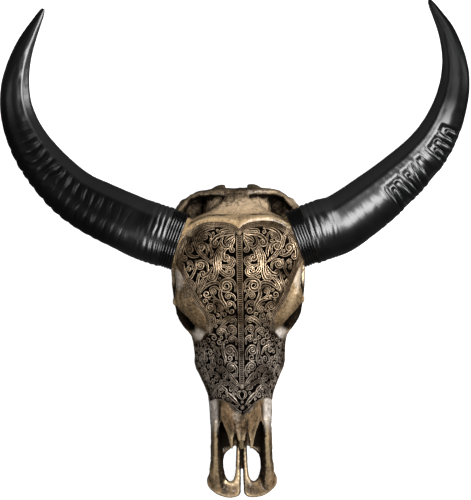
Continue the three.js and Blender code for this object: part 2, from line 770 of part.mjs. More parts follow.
function meshOf(name, solid, look) {
  const { numProp, numVert, vertProperties, triVerts } = solid.getMesh();
  const positions = new Float32Array(numVert * 3);
  for (let i = 0; i < numVert; i++) {
    positions.set(vertProperties.subarray(i * numProp, i * numProp + 3), i * 3);
  }
  const geometry = new THREE.BufferGeometry();
  geometry.setAttribute('position', new THREE.BufferAttribute(positions, 3));
  geometry.setIndex(new THREE.BufferAttribute(triVerts, 1));
  geometry.computeVertexNormals();
  const mesh = new THREE.Mesh(geometry, new THREE.MeshStandardMaterial(look));
  mesh.name = name;
  return mesh;
}

const skull = new THREE.Group();
for (const [name, solid] of bonesOf(wholeSkull())) skull.add(meshOf(name, solid, BONE));
for (const name of Object.keys(SIDES)) {
  skull.add(meshOf(`horn_${name}`, horn(name), HORN));
  skull.add(meshOf(`horn_binding_${name}`, binding(name), CORD_LOOK));
}

// The origin is the middle of the footprint, at the height of the floor.
skull.position.set(-FOOTPRINT_MIDDLE.x, -FOOTPRINT_MIDDLE.y, 0);

export default skull;
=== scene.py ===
"""Looks of a carved water buffalo skull.

Patinated bone, pierced scrollwork, black horns and cord bindings.
"""

import math
import random

import bmesh
import bpy
import numpy as np
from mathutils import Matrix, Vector
from mathutils.bvhtree import BVHTree
from mathutils.kdtree import KDTree


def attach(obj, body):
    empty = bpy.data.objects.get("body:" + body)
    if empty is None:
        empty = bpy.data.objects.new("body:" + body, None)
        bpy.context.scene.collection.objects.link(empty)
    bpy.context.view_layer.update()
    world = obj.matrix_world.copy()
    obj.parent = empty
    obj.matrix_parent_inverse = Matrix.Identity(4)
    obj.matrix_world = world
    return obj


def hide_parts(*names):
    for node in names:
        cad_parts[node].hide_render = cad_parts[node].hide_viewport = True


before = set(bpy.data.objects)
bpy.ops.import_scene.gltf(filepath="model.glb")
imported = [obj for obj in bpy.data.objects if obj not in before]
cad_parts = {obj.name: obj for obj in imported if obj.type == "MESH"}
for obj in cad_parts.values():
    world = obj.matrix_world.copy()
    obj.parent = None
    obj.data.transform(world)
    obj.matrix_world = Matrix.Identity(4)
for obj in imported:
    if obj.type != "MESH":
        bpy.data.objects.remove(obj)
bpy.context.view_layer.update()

# Sizes are in millimetres on the skull and become metres when a mesh is finished.
MM = 0.001
SIDES = {"left": -1, "right": 1}
DESIGN_Y = 7.0  # frame y of the zero line that the motifs and horns are measured from
KNOT_STEPS = 24  # points on a smooth line from one knot to the next

# Bone
BONE_GRAIN = 1.8  # size of the finest bone form
FLOOR_LEVEL = 0.1  # the bone's skin is pressed up to this level
BONE_GROWTH = 0.35  # how far neighbouring bones grow so that they meet
SUTURE_GAP = 0.25
SUTURE_WAVE = 1.1  # how far a suture wanders to either side
NASAL_SUTURE = ((34.5, -253), (0.985, 0.13))  # a point on the nasal bone's side, and the direction out of it
BONE_ROUGHNESS = [(26, 3, 0.5), (9, 4, 0.28), (3.6, 5, 0.16)]  # size of the lumps, seed and height
NAPE_ROUGHNESS = 1.8  # how much rougher the bone gets at the nape
FINE_ROUNDS = 6  # rounds of averaging that bring out grooves and edges
BROAD_ROUNDS = 60  # rounds of averaging that bring out hollows and ridges
SHELTER_REACH = 70.0  # how far off another bone still keeps the light and the cloth away
SHELTER_RAYS = 3
SHELTER_SPREAD = 0.9  # how far the rays lean from straight out
SHELTER_SEED = 5
BONE_NODES = ["cranium", "occipital_bone"]
for part_name in ("nasal_bone", "premaxilla", "maxilla_with_teeth", "cheek_bone"):
    BONE_NODES += [f"{part_name}_{side_name}" for side_name in SIDES]

# Painted highlights, laid as gold streaks beside the right eye and at the left end of the snout:
# middle, direction, half length and half width.
PAINTED_HIGHLIGHT_STREAKS = [((87, -81), (-0.42, -0.91), 22.0, 5.0), ((-22, -390), (0.95, -0.3), 12.0, 5.0)]

# Outline of the black of an eye socket seen from above, painted as shade, on either side.
EYE_SOCKET = [(109.5, -84.5), (83.5, -109), (71, -122), (82, -132), (92, -124), (101.5, -107)]

# Carving
RECESS = 5.5  # depth of the dark ground under the scrolls
FOOT_DEPTH = 0.8  # how far the scrolls' feet stand in the ground
CARVING_SIDE_HEIGHT = 84.0  # the carving ends at this height on the side of the face
CARVING_SEED = 11
CARVING_OFFSET = 2.5  # how far the carver's midline lies to the right of the bone's
LEFT_WOBBLE = 0.7  # how far the left half strays from the mirror image of the right
CURL_WIDENING = 1.25  # over the measured radius
CURL_RING = 0.86  # radius of a small curl's ring, in the curl's size
CURL_CLOSING = 0.72  # share of its radius that a curl has lost at its end
RIBBON_WIDENING = 1.6  # over the measured half width
CURLED_END = 0.62  # width of a ribbon's end where it curls, in its full width
POINTED_END = 0.3  # the same where it ends in a point
RIBBON_DOME = 0.45  # how much lower a ribbon's edges lie than its middle, in half widths
TRIPLE_FROM = 3.8  # half width from which a ribbon has three rails
DOUBLE_FROM = 1.7  # half width from which a ribbon has two rails
MOTIF_LEVEL = 0.45  # height of a motif over the bone, in its measured half width
GROOVE_RUB = 0.34  # how far the gilding is rubbed in the grooves between the rails; a low value also paints them darker as shade
SCROLL_GILDING_AND_SIDE_SHADE = {"left": 0.8, "right": 1.0}  # the left half is painted darker, as shade from light that falls from the right
CURL_GILDING = 0.75
BORDER_GILDING = 0.24
BAR_GILDING = 0.3
BAND_WIDTH = 9.0  # the beaded band inside the heart's edge
BAND_DEPTH = 1.2
BAND_RAILS = [(0.6, 1.0), (BAND_WIDTH - 0.8, 1.2)]  # distance in from the heart's edge, and half width
BAND_BEADS = {"insets": (2.9, 5.9), "radius": 1.25, "pitch": 2.7}
ARCH_BEADS = {"radius": 1.3, "pitch": 3.0}
ARCH_RAILS = {"distance": 2.4, "half": 0.9}
FACE_EDGE_RAIL = {"half": 1.3, "level": 0.2, "spacing": 1.4}
OUTLINE_SPACING = 4  # of the points along the carving's edge
RAIL_LEVEL = 0.3
RAIL_SPACING = 1.2  # of the points along a rail
BEAD_SINK = 0.25  # how far a bead's middle lies under the surface, in its radius
FILL_SPOTS = 9000  # places on one half that are tried for small curls
FILL_SIZES = (6.4, 5.4, 4.6, 3.9, 3.3, 2.8, 2.4)  # radii of the small curls
FILL_ROOM = {"heart": 1.2, "face": 0.95}  # room that a small curl keeps round itself, in its own radius
FILL_GAPS = {"edge": 1.5, "bar": 1.4}  # kept free beside the carving's edge and the midline bar
HEART_FOOT = -45.0  # below this the curls lie closer

# Horns: middle of each horn from the binding to the tip, and half width along it.
HORN_ROOT = (94.0, 15.0, 160.0)
HORN_AXIS = (0.944, 0.324, -0.06)
BINDING_LENGTH = 24.0
HORN_PATHS = {
    "left": [(176, 46, 151), (262, 92, 147), (320.5, 152, 150), (353.5, 213, 158), (361.5, 272, 168),
             (346, 334.5, 178), (310, 402, 190)],
    "right": [(178, 45, 151), (252.5, 99, 147), (318.5, 161.5, 150), (351.5, 222, 158), (363.5, 284, 168),
              (351.5, 346, 180), (320.5, 404.5, 190)],
}
HORN_TAPER = [(0, 49), (0.06, 49), (0.12, 47.5), (0.25, 44.5), (0.5, 35), (0.75, 22.5), (0.9, 12.8),
              (0.95, 8.6), (0.98, 6), (0.993, 4.2), (1, 2.4)]
HORN_FLATNESS = 0.78
HORN_LEAN = 0.22
CREST_ANGLE = math.radians(68)  # the edge between the horn's wrinkled face and its smooth inner strip
HORN_SEED = 31
FACETS_ROUND_HORN = 110
FOLD_PITCH = 17.0
FOLD_HEIGHT = {"left": 2.8, "right": 0.5}
RING_PITCH = 8.5  # of the rings at the horn's root
FINGER_FOLDS = {"left": [], "right": [(0.29, 0.44), (0.48, 0.57)]}  # where they lie, in shares of the horn
FINGER_DEPTH = 4.2
MATTE_FACE = {"left": 0.97, "right": 0.0}  # how much of the gloss is gone
MATTE_TIP = {"left": 0.0, "right": 1.0}
HORN_FACE_RADIUS = 40.0  # of the round horn that the folds are laid out on
CORE_HALF = 42.75  # half width of the bony core that the cord is wound on
CORD_TURNS = 5
CORD_OVERLAP = 1.02  # neighbouring turns press a little into each other
CORD_STEPS = 72  # points in one turn of cord

# Motifs of one half of the carving: half width of the ribbon, the curl at its end as its turning, radius and
# turns, and the ribbon's path as distance from the midline and place along the skull.
MOTIFS = {
    "stem": (2.6, None, [(80, 31), (74, 24), (71.5, 15.5), (68, 5.5), (62, -3.5), (55.5, -10.5), (47, -17),
                         (42.5, -20.5)]),
    "hook": (2.1, ("right", 5, 1.25), [(53.5, -5), (52, 3), (54, 9.5), (59.5, 13)]),
    "stalk": (1.9, None, [(49.5, 11.5), (47, 4.5), (45.5, -2), (47, -10.5)]),
    "great band": (3.0, ("left", 4, 1.1), [(31, 7.5), (35.5, -0.5), (38.5, -8.5), (39, -17), (38.5, -27),
                                           (39, -35.5), (41.5, -43.5)]),
    "great S": (2.7, ("right", 6, 1.0), [(29, 5), (30.5, -3.5), (33, -12), (33.5, -20), (32.5, -28.5),
                                         (28, -35.5), (21, -39)]),
    "C scroll": (2.5, ("right", 4, 0.9), [(30, -23), (21, -25), (14.5, -23.5), (10.5, -18)]),
    "J scroll": (2.0, ("right", 4, 1.1), [(21, 4), (25.5, -2), (27, -9.5)]),
    "upper leaf": (2.3, ("right", 4.5, 1.1), [(7, 29), (19, 28.5), (30, 27), (38, 23), (43, 17)]),
    "second leaf": (1.9, None, [(7.5, 26.5), (16, 23), (22, 18), (23, 13)]),
    "third leaf": (1.6, None, [(7.5, 24.5), (12, 19), (17, 15.5)]),
    "crescent": (1.8, ("right", 3, 0.8), [(26, 23.5), (30, 16.5), (28.5, 10), (23, 6), (17.5, 7)]),
    "drop leaf": (1.7, ("right", 3, 0.9), [(7.5, 22.5), (9.5, 16.5), (12.5, 10), (14.5, 3.5)]),
    "top leaf": (1.7, ("right", 3, 1.1), [(9.5, 33), (19.5, 34.5), (28.5, 34.5)]),
    "comma": (1.9, ("right", 3.5, 1.0), [(39.5, 37.5), (49.5, 36.5), (58.5, 33), (65, 27.5), (68, 20.5)]),
    "fan curl": (1.4, ("right", 4, 1.4), [(47.5, 16), (46.5, 24), (50, 29.5), (56.5, 30)]),
    "cheek S": (2.1, ("left", 4.5, 1.2), [(65.5, -6.5), (73.5, -8.5), (81, -5.5), (86, 0.5)]),
    "bud": (1.4, None, [(81.5, 23), (84, 15.5), (81, 10)]),
    "inner band": (1.8, ("right", 3.5, 1.1), [(86, 23), (90, 11), (93.5, 0), (94, -9)]),
    "lower hook": (2.1, ("left", 3, 1.1), [(44, -24.5), (47.5, -31.5), (53, -37.5), (59.5, -39.5)]),
    "wheel": (1.9, ("right", 5, 1.6), [(52, -30.5), (53, -21.5), (58, -16.5), (64.5, -16)]),
    "oval": (1.5, None, [(71, -13.5), (72, -25), (76, -36), (82, -43.5), (86.5, -36.5), (89.5, -26),
                         (90, -18)]),
    "oval eye": (1.2, ("right", 3, 1.2), [(76.5, -29), (76, -22), (79.5, -17)]),
    "oval tail": (1.2, ("right", 2.5, 1.1), [(82, -20.5), (85, -26)]),
    "long blade": (1.5, None, [(52.5, -42.5), (59, -51), (64, -60), (65.5, -69)]),
    "middle blade": (1.4, None, [(59, -42.5), (63.5, -50.5), (67, -58.5), (68, -68.5)]),
    "outer blade": (1.6, None, [(68, -35), (67.5, -42.5), (70, -52.5), (73, -63)]),
    "petal": (1.3, None, [(74.5, -62), (74.5, -53), (78.5, -48), (80.5, -53), (77.5, -60.5)]),
    "great ring": (2.0, ("right", 8, 1.55), [(8, -67), (7, -55.5), (12.5, -47.5), (22.5, -46.5)]),
    "brow band": (1.9, None, [(32, -55.5), (38, -51), (47.5, -52), (56, -57.5), (64, -66.5)]),
    "brow curl": (1.5, ("right", 3.5, 1.2), [(33.5, -63), (39.5, -58), (46, -59)]),
    "double band": (2.2, None, [(29.5, -58.5), (32, -64), (32.5, -71), (29, -80), (24.5, -88), (22.5, -99)]),
    "loop": (1.4, ("left", 3, 1.2), [(37, -77.5), (44, -74), (46.5, -67.5)]),
    "fan": (1.8, None, [(25, -93.5), (30, -85), (38, -80), (49, -79)]),
    "fan rib": (1.4, None, [(27.5, -97.5), (32.5, -90), (40, -85.5)]),
    "low wheel": (1.7, ("right", 4.5, 1.5), [(41.5, -100), (42, -91.5), (47, -86.5)]),
    "low ring": (1.2, ("right", 3, 1.3), [(31, -101.5), (31.5, -95.5)]),
    "pendant curl": (1.5, ("right", 4, 1.5), [(50, -132.5), (46, -123.5), (42.5, -115), (43.5, -107.5)]),
    "pendant rib": (1.2, None, [(53.5, -131), (50.5, -122.5), (49, -116.5)]),
    "long diagonal": (1.8, None, [(7.5, -105), (15, -110), (24, -115.5), (32, -123.5), (37.5, -131.5)]),
    "short diagonal": (1.3, None, [(17.5, -106), (27, -112), (34.5, -120)]),
    "twig": (1.2, ("left", 2.5, 1.1), [(32.5, -103.5), (32, -110.5), (35.5, -115.5)]),
    "bar curl one": (1.5, ("right", 3.5, 1.3), [(7.5, -81), (11.5, -72), (17.5, -69)]),
    "bar curl two": (1.5, ("right", 3, 1.3), [(8, -94.5), (11.5, -85), (17, -82)]),
    "bar curl three": (1.5, ("right", 3.5, 1.3), [(8.5, -122), (8, -114), (12, -109.5)]),
    "bar curl four": (1.6, ("right", 4, 1.4), [(9, -137.5), (8, -129), (13, -124)]),
    "bar curl five": (1.6, ("right", 4, 1.4), [(24, -142.5), (25.5, -132.5), (31.5, -128)]),
    "bar curl six": (1.5, ("right", 3.5, 1.3), [(8.5, -153.5), (8, -145), (12.5, -140.5)]),
    "face heart": (2.0, ("right", 5.5, 1.4), [(9, -179), (8.5, -167.5), (13.5, -159.5)]),
    "face stem": (2.0, None, [(29.5, -148.5), (29.5, -165.5), (26, -178.5), (27.5, -188.5)]),
    "face branch": (1.6, ("left", 3, 1.2), [(34, -171.5), (38.5, -161.5), (46.5, -156.5)]),
    "face wheel": (1.9, ("right", 5, 1.5), [(8.5, -207.5), (7.5, -194.5), (12.5, -187)]),
    "face hook": (1.7, ("right", 4, 1.3), [(23.5, -210.5), (25.5, -199), (31.5, -192.5)]),
    "face S": (1.7, ("right", 4, 1.2), [(40.5, -167.5), (47, -176), (49.5, -186)]),
    "side stem": (1.6, ("right", 3.5, 1.2), [(55.5, -152.5), (61, -163.5), (61.5, -176)]),
    "side branch": (1.5, ("left", 3.5, 1.2), [(62, -189.5), (58, -197.5), (54.5, -207.5)]),
    "drop": (1.5, ("left", 3.5, 1.2), [(34.5, -209), (41, -201.5), (48, -202.5)]),
    "low heart": (1.8, ("right", 4, 1.4), [(24, -241.5), (25.5, -231.5), (31.5, -225.5)]),
    "low tail": (1.4, None, [(40, -232.5), (44.5, -241), (48, -248)]),
    "V band": (2.6, None, [(21.5, -200.5), (13.5, -212), (4.5, -222.5)]),
    "pendant band": (2.2, None, [(26.5, -232.5), (16.5, -242.5), (4, -256)]),
    "pendant leaf": (2.6, None, [(2, -268), (9.5, -265), (17, -258), (22, -251)]),
    "diamond": (1.5, None, [(1, -230), (6.5, -237.5), (1, -246)]),
}
# The beaded border of the heart on one half, from the notch at the top to the waist between the eyes.
HEART_BORDER = [(0, 36.5), (7.5, 43), (17.5, 46.5), (37, 49), (60, 46.5), (80, 35.5), (93.5, 21), (102, 6),
                (105, -10), (102, -23), (95, -36), (85.5, -57), (74.5, -81.5), (64.5, -96.5), (58, -106),
                (56, -117.5), (56.5, -132.5)]
FACE_TOP_CORNER = (66, -146)  # where the carving spreads to the side of the face
FACE_LOWER_EDGE = [(51, -249.5), (43, -245.5), (33, -247), (23, -251.5), (16, -261), (7, -268.5), (0, -271.5)]
FACE_ARCH = [(7.5, -228.5), (17, -221.5), (28.5, -216.5), (39, -225), (46.5, -236), (50, -246)]
CENTRE_BAR = {"top": 25.0, "bottom": -221.0, "half": 4.4, "foot half": 3.2, "pitch": 3.1, "rail half": 1.1,
              "rail level": 0.6, "rung half": 0.95, "rung level": 0.0}
BOSSES = [(0, 30, 4.6), (0, -224, 4.6), (0, -250, 3.0), (0, -259, 4.2)]  # place and radius
ROSETTE = {"place": (81, 31), "middle": 2.6, "petal": 1.7, "petals": 8, "reach": 4.2}


# Small tools

def share(low, high, value):
    """Rises smoothly from 0 at low to 1 at high."""
    t = np.clip((np.asarray(value, float) - low) / (high - low), 0.0, 1.0)
    return t * t * (3 - 2 * t)


def unit(vectors):
    return vectors / np.linalg.norm(vectors, axis=1, keepdims=True)


def between_stops(wanted, stops, table):
    """Rows of a table read at the wanted places, when its own rows lie at the stops."""
    return np.stack([np.interp(wanted, stops, column) for column in table.T], axis=1)


def smooth_line(points, spacing):
    """Points at an even spacing along a smooth curve through the given ones."""
    knots = np.asarray(points, float)
    ends = np.vstack([2 * knots[0] - knots[1], knots, 2 * knots[-1] - knots[-2]])
    fine = []
    for a, b, c, d in zip(ends, ends[1:], ends[2:], ends[3:]):
        t = np.linspace(0, 1, KNOT_STEPS, endpoint=False)[:, None]
        fine.append(0.5 * (2 * b + (c - a) * t + (2 * a - 5 * b + 4 * c - d) * t**2
                           + (3 * b - a - 3 * c + d) * t**3))
    fine = np.vstack(fine + [knots[-1:]])
    along = np.concatenate([[0], np.cumsum(np.linalg.norm(np.diff(fine, axis=0), axis=1))])
    stops = np.linspace(0, along[-1], max(3, int(along[-1] / spacing) + 1))
    return between_stops(stops, along, fine)


def value_noise(points, size, seed):
    """Smooth noise from -1 to 1 whose lumps are about one size across."""
    place = points / size + seed * 17.31
    cell = np.floor(place).astype(np.int64)
    part = place - cell
    part = part * part * (3 - 2 * part)
    total = np.zeros(len(points))
    for corner in range(8):
        step = np.array([corner & 1, corner >> 1 & 1, corner >> 2 & 1])
        x, y, z = (cell + step).T
        mixed = (x * 73856093 ^ y * 19349663 ^ z * 83492791 ^ seed * 2654435) & 0x7FFFFFFF
        mixed = (mixed ^ mixed >> 13) * 1274126177 & 0x7FFFFFFF
        weight = np.where(step, part, 1 - part).prod(axis=1)
        total += weight * ((mixed >> 8 & 0xFFFF) / 32767.5 - 1)
    return total


def mesh_points(mesh):
    """Places of a mesh's vertices, in millimetres."""
    found = np.empty(len(mesh.vertices) * 3)
    mesh.vertices.foreach_get("co", found)
    return found.reshape(-1, 3) / MM


def set_mesh_points(mesh, points):
    mesh.vertices.foreach_set("co", (points * MM).ravel())
    mesh.update()


def mesh_normals(mesh):
    found = np.empty(len(mesh.vertices) * 3)
    mesh.vertex_normals.foreach_get("vector", found)
    return found.reshape(-1, 3)


def set_attribute(mesh, name, values):
    layer = mesh.attributes.get(name) or mesh.attributes.new(name, "FLOAT", "POINT")
    layer.data.foreach_set("value", np.asarray(values, np.float32))


def surface_tree(mesh):
    """A search tree for the places where a ray meets a mesh."""
    return BVHTree.FromPolygons([v.co for v in mesh.vertices], [tuple(p.vertices) for p in mesh.polygons])


def add_object(name, data):
    made = bpy.data.objects.new(name, data)
    bpy.context.scene.collection.objects.link(made)
    return made


def mesh_from(shape, name):
    """A mesh made from a bmesh, which is freed."""
    mesh = bpy.data.meshes.new(name)
    shape.to_mesh(mesh)
    shape.free()
    return mesh


def finished_mesh(helper):
    """The mesh of a helper object with its modifiers applied. The helper is removed."""
    graph = bpy.context.evaluated_depsgraph_get()
    mesh = bpy.data.meshes.new_from_object(helper.evaluated_get(graph))
    bpy.data.objects.remove(helper)
    return mesh


def add_piece(name, mesh, material, slot_name, *nodes):
    """A finished piece of the skull that stands for the given nodes."""
    mesh.materials.clear()
    mesh.materials.append(material)
    mesh.polygons.foreach_set("use_smooth", [True] * len(mesh.polygons))
    piece = add_object(name, mesh)
    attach(piece, "root")
    if nodes:
        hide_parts(*nodes)
    return piece


# Bone skin

def joined_bones():
    """All the bones in one skin, fine enough to be carved."""
    joined = bmesh.new()
    for name in BONE_NODES:
        bone = bmesh.new()
        bone.from_mesh(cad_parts[name].data)
        bmesh.ops.remove_doubles(bone, verts=bone.verts, dist=0.01 * MM)
        bone.normal_update()
        for vertex in bone.verts:
            vertex.co += vertex.normal * BONE_GROWTH * MM
        grown = mesh_from(bone, name)
        joined.from_mesh(grown)
        bpy.data.meshes.remove(grown)
    helper = add_object("joined bones", mesh_from(joined, "joined bones"))
    fine = helper.modifiers.new("fine skin", "REMESH")
    fine.mode = "VOXEL"
    fine.voxel_size = BONE_GRAIN * MM
    soft = helper.modifiers.new("worn edges", "SMOOTH")
    soft.factor = 0.5
    soft.iterations = 10
    return finished_mesh(helper)


class Neighbours:
    """Averages values over each vertex's neighbours."""

    def __init__(self, mesh):
        edges = np.empty(len(mesh.edges) * 2, np.int64)
        mesh.edges.foreach_get("vertices", edges)
        pairs = edges.reshape(-1, 2)
        self.start = np.concatenate([pairs[:, 0], pairs[:, 1]])
        self.end = np.concatenate([pairs[:, 1], pairs[:, 0]])
        self.count = len(mesh.vertices)
        self.degree = np.maximum(np.bincount(self.start, minlength=self.count), 1)

    def average(self, values, rounds):
        for _ in range(rounds):
            columns = [np.bincount(self.start, column[self.end], self.count) for column in values.T]
            values = 0.5 * values + 0.5 * (np.stack(columns, axis=1) / self.degree[:, None])
        return values


class Wrap:
    """The smooth outer surface of forehead and face, laid out flat as (distance from the midline, y)."""

    Y_BACK = 66.0
    Y_FRONT = -296.0
    Y_STEP = 2.0
    ANGLE_STEP = 1.5
    ANGLE_REACH = 123.0
    FLAT_STEP = 1.0
    MIDDLE_HEIGHT = 112.0  # of the line that the surface is seen from
    MIDDLE_DROP = 50.0  # from the forehead to the face
    CAST_REACH = 0.4  # metres from that line at which the rays start

    def __init__(self, mesh):
        self.rows = np.arange(self.Y_FRONT, self.Y_BACK + 1, self.Y_STEP)
        self.angles = np.radians(np.arange(-self.ANGLE_REACH, self.ANGLE_REACH + 1, self.ANGLE_STEP))
        self.raw = self.cast(mesh)
        self.radius = self.blurred(self.bridged(self.raw, along=10, around=8), along=5.0, around=4.0)
        self.measure()

    @staticmethod
    def middle(y):
        """Height of the line that the surface is seen from."""
        return Wrap.MIDDLE_HEIGHT - Wrap.MIDDLE_DROP * share(-85, -175, y)

    def cast(self, mesh):
        """Distance of the outer surface from the line in the middle."""
        tree = surface_tree(mesh)
        found = np.zeros((len(self.rows), len(self.angles)))
        for i, y in enumerate(self.rows):
            centre = Vector((0, y * MM, float(self.middle(y)) * MM))
            for k, angle in enumerate(self.angles):
                out = Vector((math.sin(angle), 0, math.cos(angle)))
                hit = tree.ray_cast(centre + out * self.CAST_REACH, -out)[0]
                found[i, k] = (hit - centre).length / MM if hit else found[i, k - 1]
        return found

    @staticmethod
    def bridged(table, along, around):
        """A copy of a table whose narrow dips are filled to the level of what stands round them."""
        for pick in (np.max, np.min):
            for axis, reach in ((0, along), (1, around)):
                wide = np.pad(table, [(reach, reach) if a == axis else (0, 0) for a in (0, 1)], mode="edge")
                windows = np.lib.stride_tricks.sliding_window_view(wide, 2 * reach + 1, axis=axis)
                table = pick(windows, axis=-1)
        return table

    @staticmethod
    def blurred(table, along, around):
        """A copy of a table with a soft average along both directions."""
        for axis, spread in ((0, along), (1, around)):
            reach = int(spread * 3)
            weights = np.exp(-0.5 * (np.arange(-reach, reach + 1) / spread) ** 2)
            weights /= weights.sum()
            wide = np.pad(table, [(reach, reach) if a == axis else (0, 0) for a in (0, 1)], mode="edge")
            table = np.apply_along_axis(lambda line: np.convolve(line, weights, "valid"), axis, wide)
        return table

    def measure(self):
        """Lays the surface out flat and keeps its points and directions on an even grid."""
        across = self.radius * np.sin(self.angles)
        height = self.radius * np.cos(self.angles) + self.middle(self.rows)[:, None]
        steps = np.hypot(np.diff(across, axis=1), np.diff(height, axis=1))
        lengths = np.hstack([np.zeros((len(self.rows), 1)), np.cumsum(steps, axis=1)])
        self.length = lengths - lengths[:, [len(self.angles) // 2]]
        self.flat_reach = math.floor(min(self.length[:, -1].min(), -self.length[:, 0].max()))
        self.flat = np.arange(-self.flat_reach, self.flat_reach + 1, self.FLAT_STEP)
        grid = np.empty((len(self.rows), len(self.flat), 3))
        for i, y in enumerate(self.rows):
            grid[i, :, 0] = np.interp(self.flat, self.length[i], across[i])
            grid[i, :, 1] = y
            grid[i, :, 2] = np.interp(self.flat, self.length[i], height[i])
        self.grid = grid
        out = np.cross(np.gradient(grid, axis=1), np.gradient(grid, axis=0))
        self.out = out / np.linalg.norm(out, axis=2, keepdims=True)

    def sample(self, table, y, column):
        """Values of a table between its rows and columns."""
        row = np.clip((y - self.Y_FRONT) / self.Y_STEP, 0, len(self.rows) - 1.001)
        column = np.clip(column, 0, table.shape[1] - 1.001)
        i, k = row.astype(int), column.astype(int)
        a, b = row - i, column - k
        if table.ndim == 3:
            a, b = a[:, None], b[:, None]
        return ((1 - a) * ((1 - b) * table[i, k] + b * table[i, k + 1])
                + a * ((1 - b) * table[i + 1, k] + b * table[i + 1, k + 1]))

    def place(self, flat_points):
        """Points given as (distance, y, height over the surface), on the skull."""
        distance, y, lift = flat_points.T
        column = (distance + CARVING_OFFSET + self.flat_reach) / self.FLAT_STEP
        out = self.sample(self.out, y, column)
        return self.sample(self.grid, y, column) + out * lift[:, None]

    def flatten(self, points):
        """Distance from the carver's midline, radius, radius of the surface, radius of the smoothed
        surface and angle of points on the skull."""
        x, y, z = points.T
        angle = np.arctan2(x, z - self.middle(y))
        column = (angle - self.angles[0]) / math.radians(self.ANGLE_STEP)
        radius = np.hypot(x, z - self.middle(y))
        raw = self.sample(self.raw, y, column)
        soft = self.sample(self.radius, y, column)
        return self.sample(self.length, y, column) - CARVING_OFFSET, radius, raw, soft, angle

    def distance_at(self, x, y):
        """Distance from the midline, over the surface, of a point seen from above."""
        i = int(round((y - self.Y_FRONT) / self.Y_STEP))
        line = self.grid[min(max(i, 0), len(self.rows) - 1)]
        middle = len(self.flat) // 2
        side = line[middle:, 0]
        widest = int(np.argmax(side))
        distance = np.interp(abs(x), side[:widest + 1], self.flat[middle:middle + widest + 1])
        return float(distance) * (1 if x > 0 else -1)

    def side_edge(self, y):
        """Distance from the midline at which the carving ends on the side of the face."""
        i = int(round((y - self.Y_FRONT) / self.Y_STEP))
        middle = len(self.flat) // 2
        low = np.flatnonzero(self.grid[i, middle:, 2] < CARVING_SIDE_HEIGHT)
        return float(self.flat[middle + low[0]]) if len(low) else float(self.flat[-1])


# Layout of the carving on the flat surface

def laid_flat(points, side):
    """Measured points of one half, as flat places on the given side."""
    return [(wrap.distance_at(x * side, y + DESIGN_Y), y + DESIGN_Y) for x, y in points]


def heart_edge(side, inset, spacing):
    """A line along the heart's border on one half, the inset in from its outer edge."""
    line = offset_line(smooth_line(laid_flat(HEART_BORDER, side), spacing), -inset * side)
    return line[line[:, 0] * side >= 0]


def carved_outline(side, inset):
    """The edge of the carving on one half, from the top of the midline to its foot."""
    heart = [(0, HEART_BORDER[0][1] + DESIGN_Y - 0.8 * inset)]
    heart += [tuple(p) for p in heart_edge(side, inset, OUTLINE_SPACING)]
    corner = laid_flat([FACE_TOP_CORNER], side)
    top = FACE_TOP_CORNER[1] + DESIGN_Y - 8
    foot = FACE_LOWER_EDGE[0][1] + DESIGN_Y
    edge = [(wrap.side_edge(y) * side, y) for y in np.linspace(top, foot, 14)]
    lower_edge = smooth_line(laid_flat(FACE_LOWER_EDGE, side), OUTLINE_SPACING)
    return heart + corner + edge + [tuple(p) for p in lower_edge]


def inside_outline(points, outline):
    """How far each flat point lies inside a closed outline. It is negative outside."""
    start = np.asarray(outline, float)
    end = np.roll(start, -1, axis=0)
    within = np.zeros(len(points), bool)
    nearest = np.full(len(points), 1e9)
    for a, b in zip(start, end):
        step = b - a
        t = np.clip(((points - a) @ step) / max(step @ step, 1e-9), 0, 1)
        nearest = np.minimum(nearest, np.linalg.norm(points - a - t[:, None] * step, axis=1))
        if a[1] != b[1]:
            crossing = (a[1] > points[:, 1]) != (b[1] > points[:, 1])
            within ^= crossing & (points[:, 0] < a[0] + (points[:, 1] - a[1]) * step[0] / step[1])
    return np.where(within, nearest, -nearest)


class Stroke:
    """One carved ribbon on the flat surface."""

    def __init__(self, line, halves, level):
        self.line = np.asarray(line, float)
        self.halves = np.asarray(halves, float)
        self.level = level


def curl(start, heading, turning, radius, turns):
    """A spiral that carries on from a path's end and closes on its own middle."""
    turn = 1 if turning == "left" else -1
    centre = start + radius * turn * np.array([-heading[1], heading[0]])
    t = np.linspace(0, 1, max(10, int(turns * radius * 5)))[1:]
    begin = math.atan2(start[1] - centre[1], start[0] - centre[0])
    angle = begin + turn * 2 * math.pi * turns * t
    reach = radius * (1 - CURL_CLOSING * t)
    return np.stack([centre[0] + reach * np.cos(angle), centre[1] + reach * np.sin(angle)], axis=1)


def ribbon(path, half, curl_form, level, spacing=1.1):
    """A stroke that swells from its start and ends in a curl or a point."""
    line = smooth_line(path, spacing)
    if curl_form:
        turning, radius, turns = curl_form
        heading = line[-1] - line[-3]
        heading /= np.linalg.norm(heading)
        line = np.vstack([line, curl(line[-1], heading, turning, radius * CURL_WIDENING, turns)])
        ending = CURLED_END
    else:
        ending = POINTED_END
    t = np.linspace(0, 1, len(line))
    swell = 0.55 + 0.45 * share(0, 0.3, t)
    fade = 1 - (1 - ending) * share(0.6, 1, t)
    return Stroke(line, half * swell * fade, level)


def offset_line(line, distance):
    """A line beside another one, on its left."""
    heading = np.gradient(line, axis=0)
    heading /= np.linalg.norm(heading, axis=1, keepdims=True)
    return line + distance * np.stack([-heading[:, 1], heading[:, 0]], axis=1)


def even_ribbon(line, half, level):
    """A stroke of one width."""
    return Stroke(line, np.full(len(line), half), level)


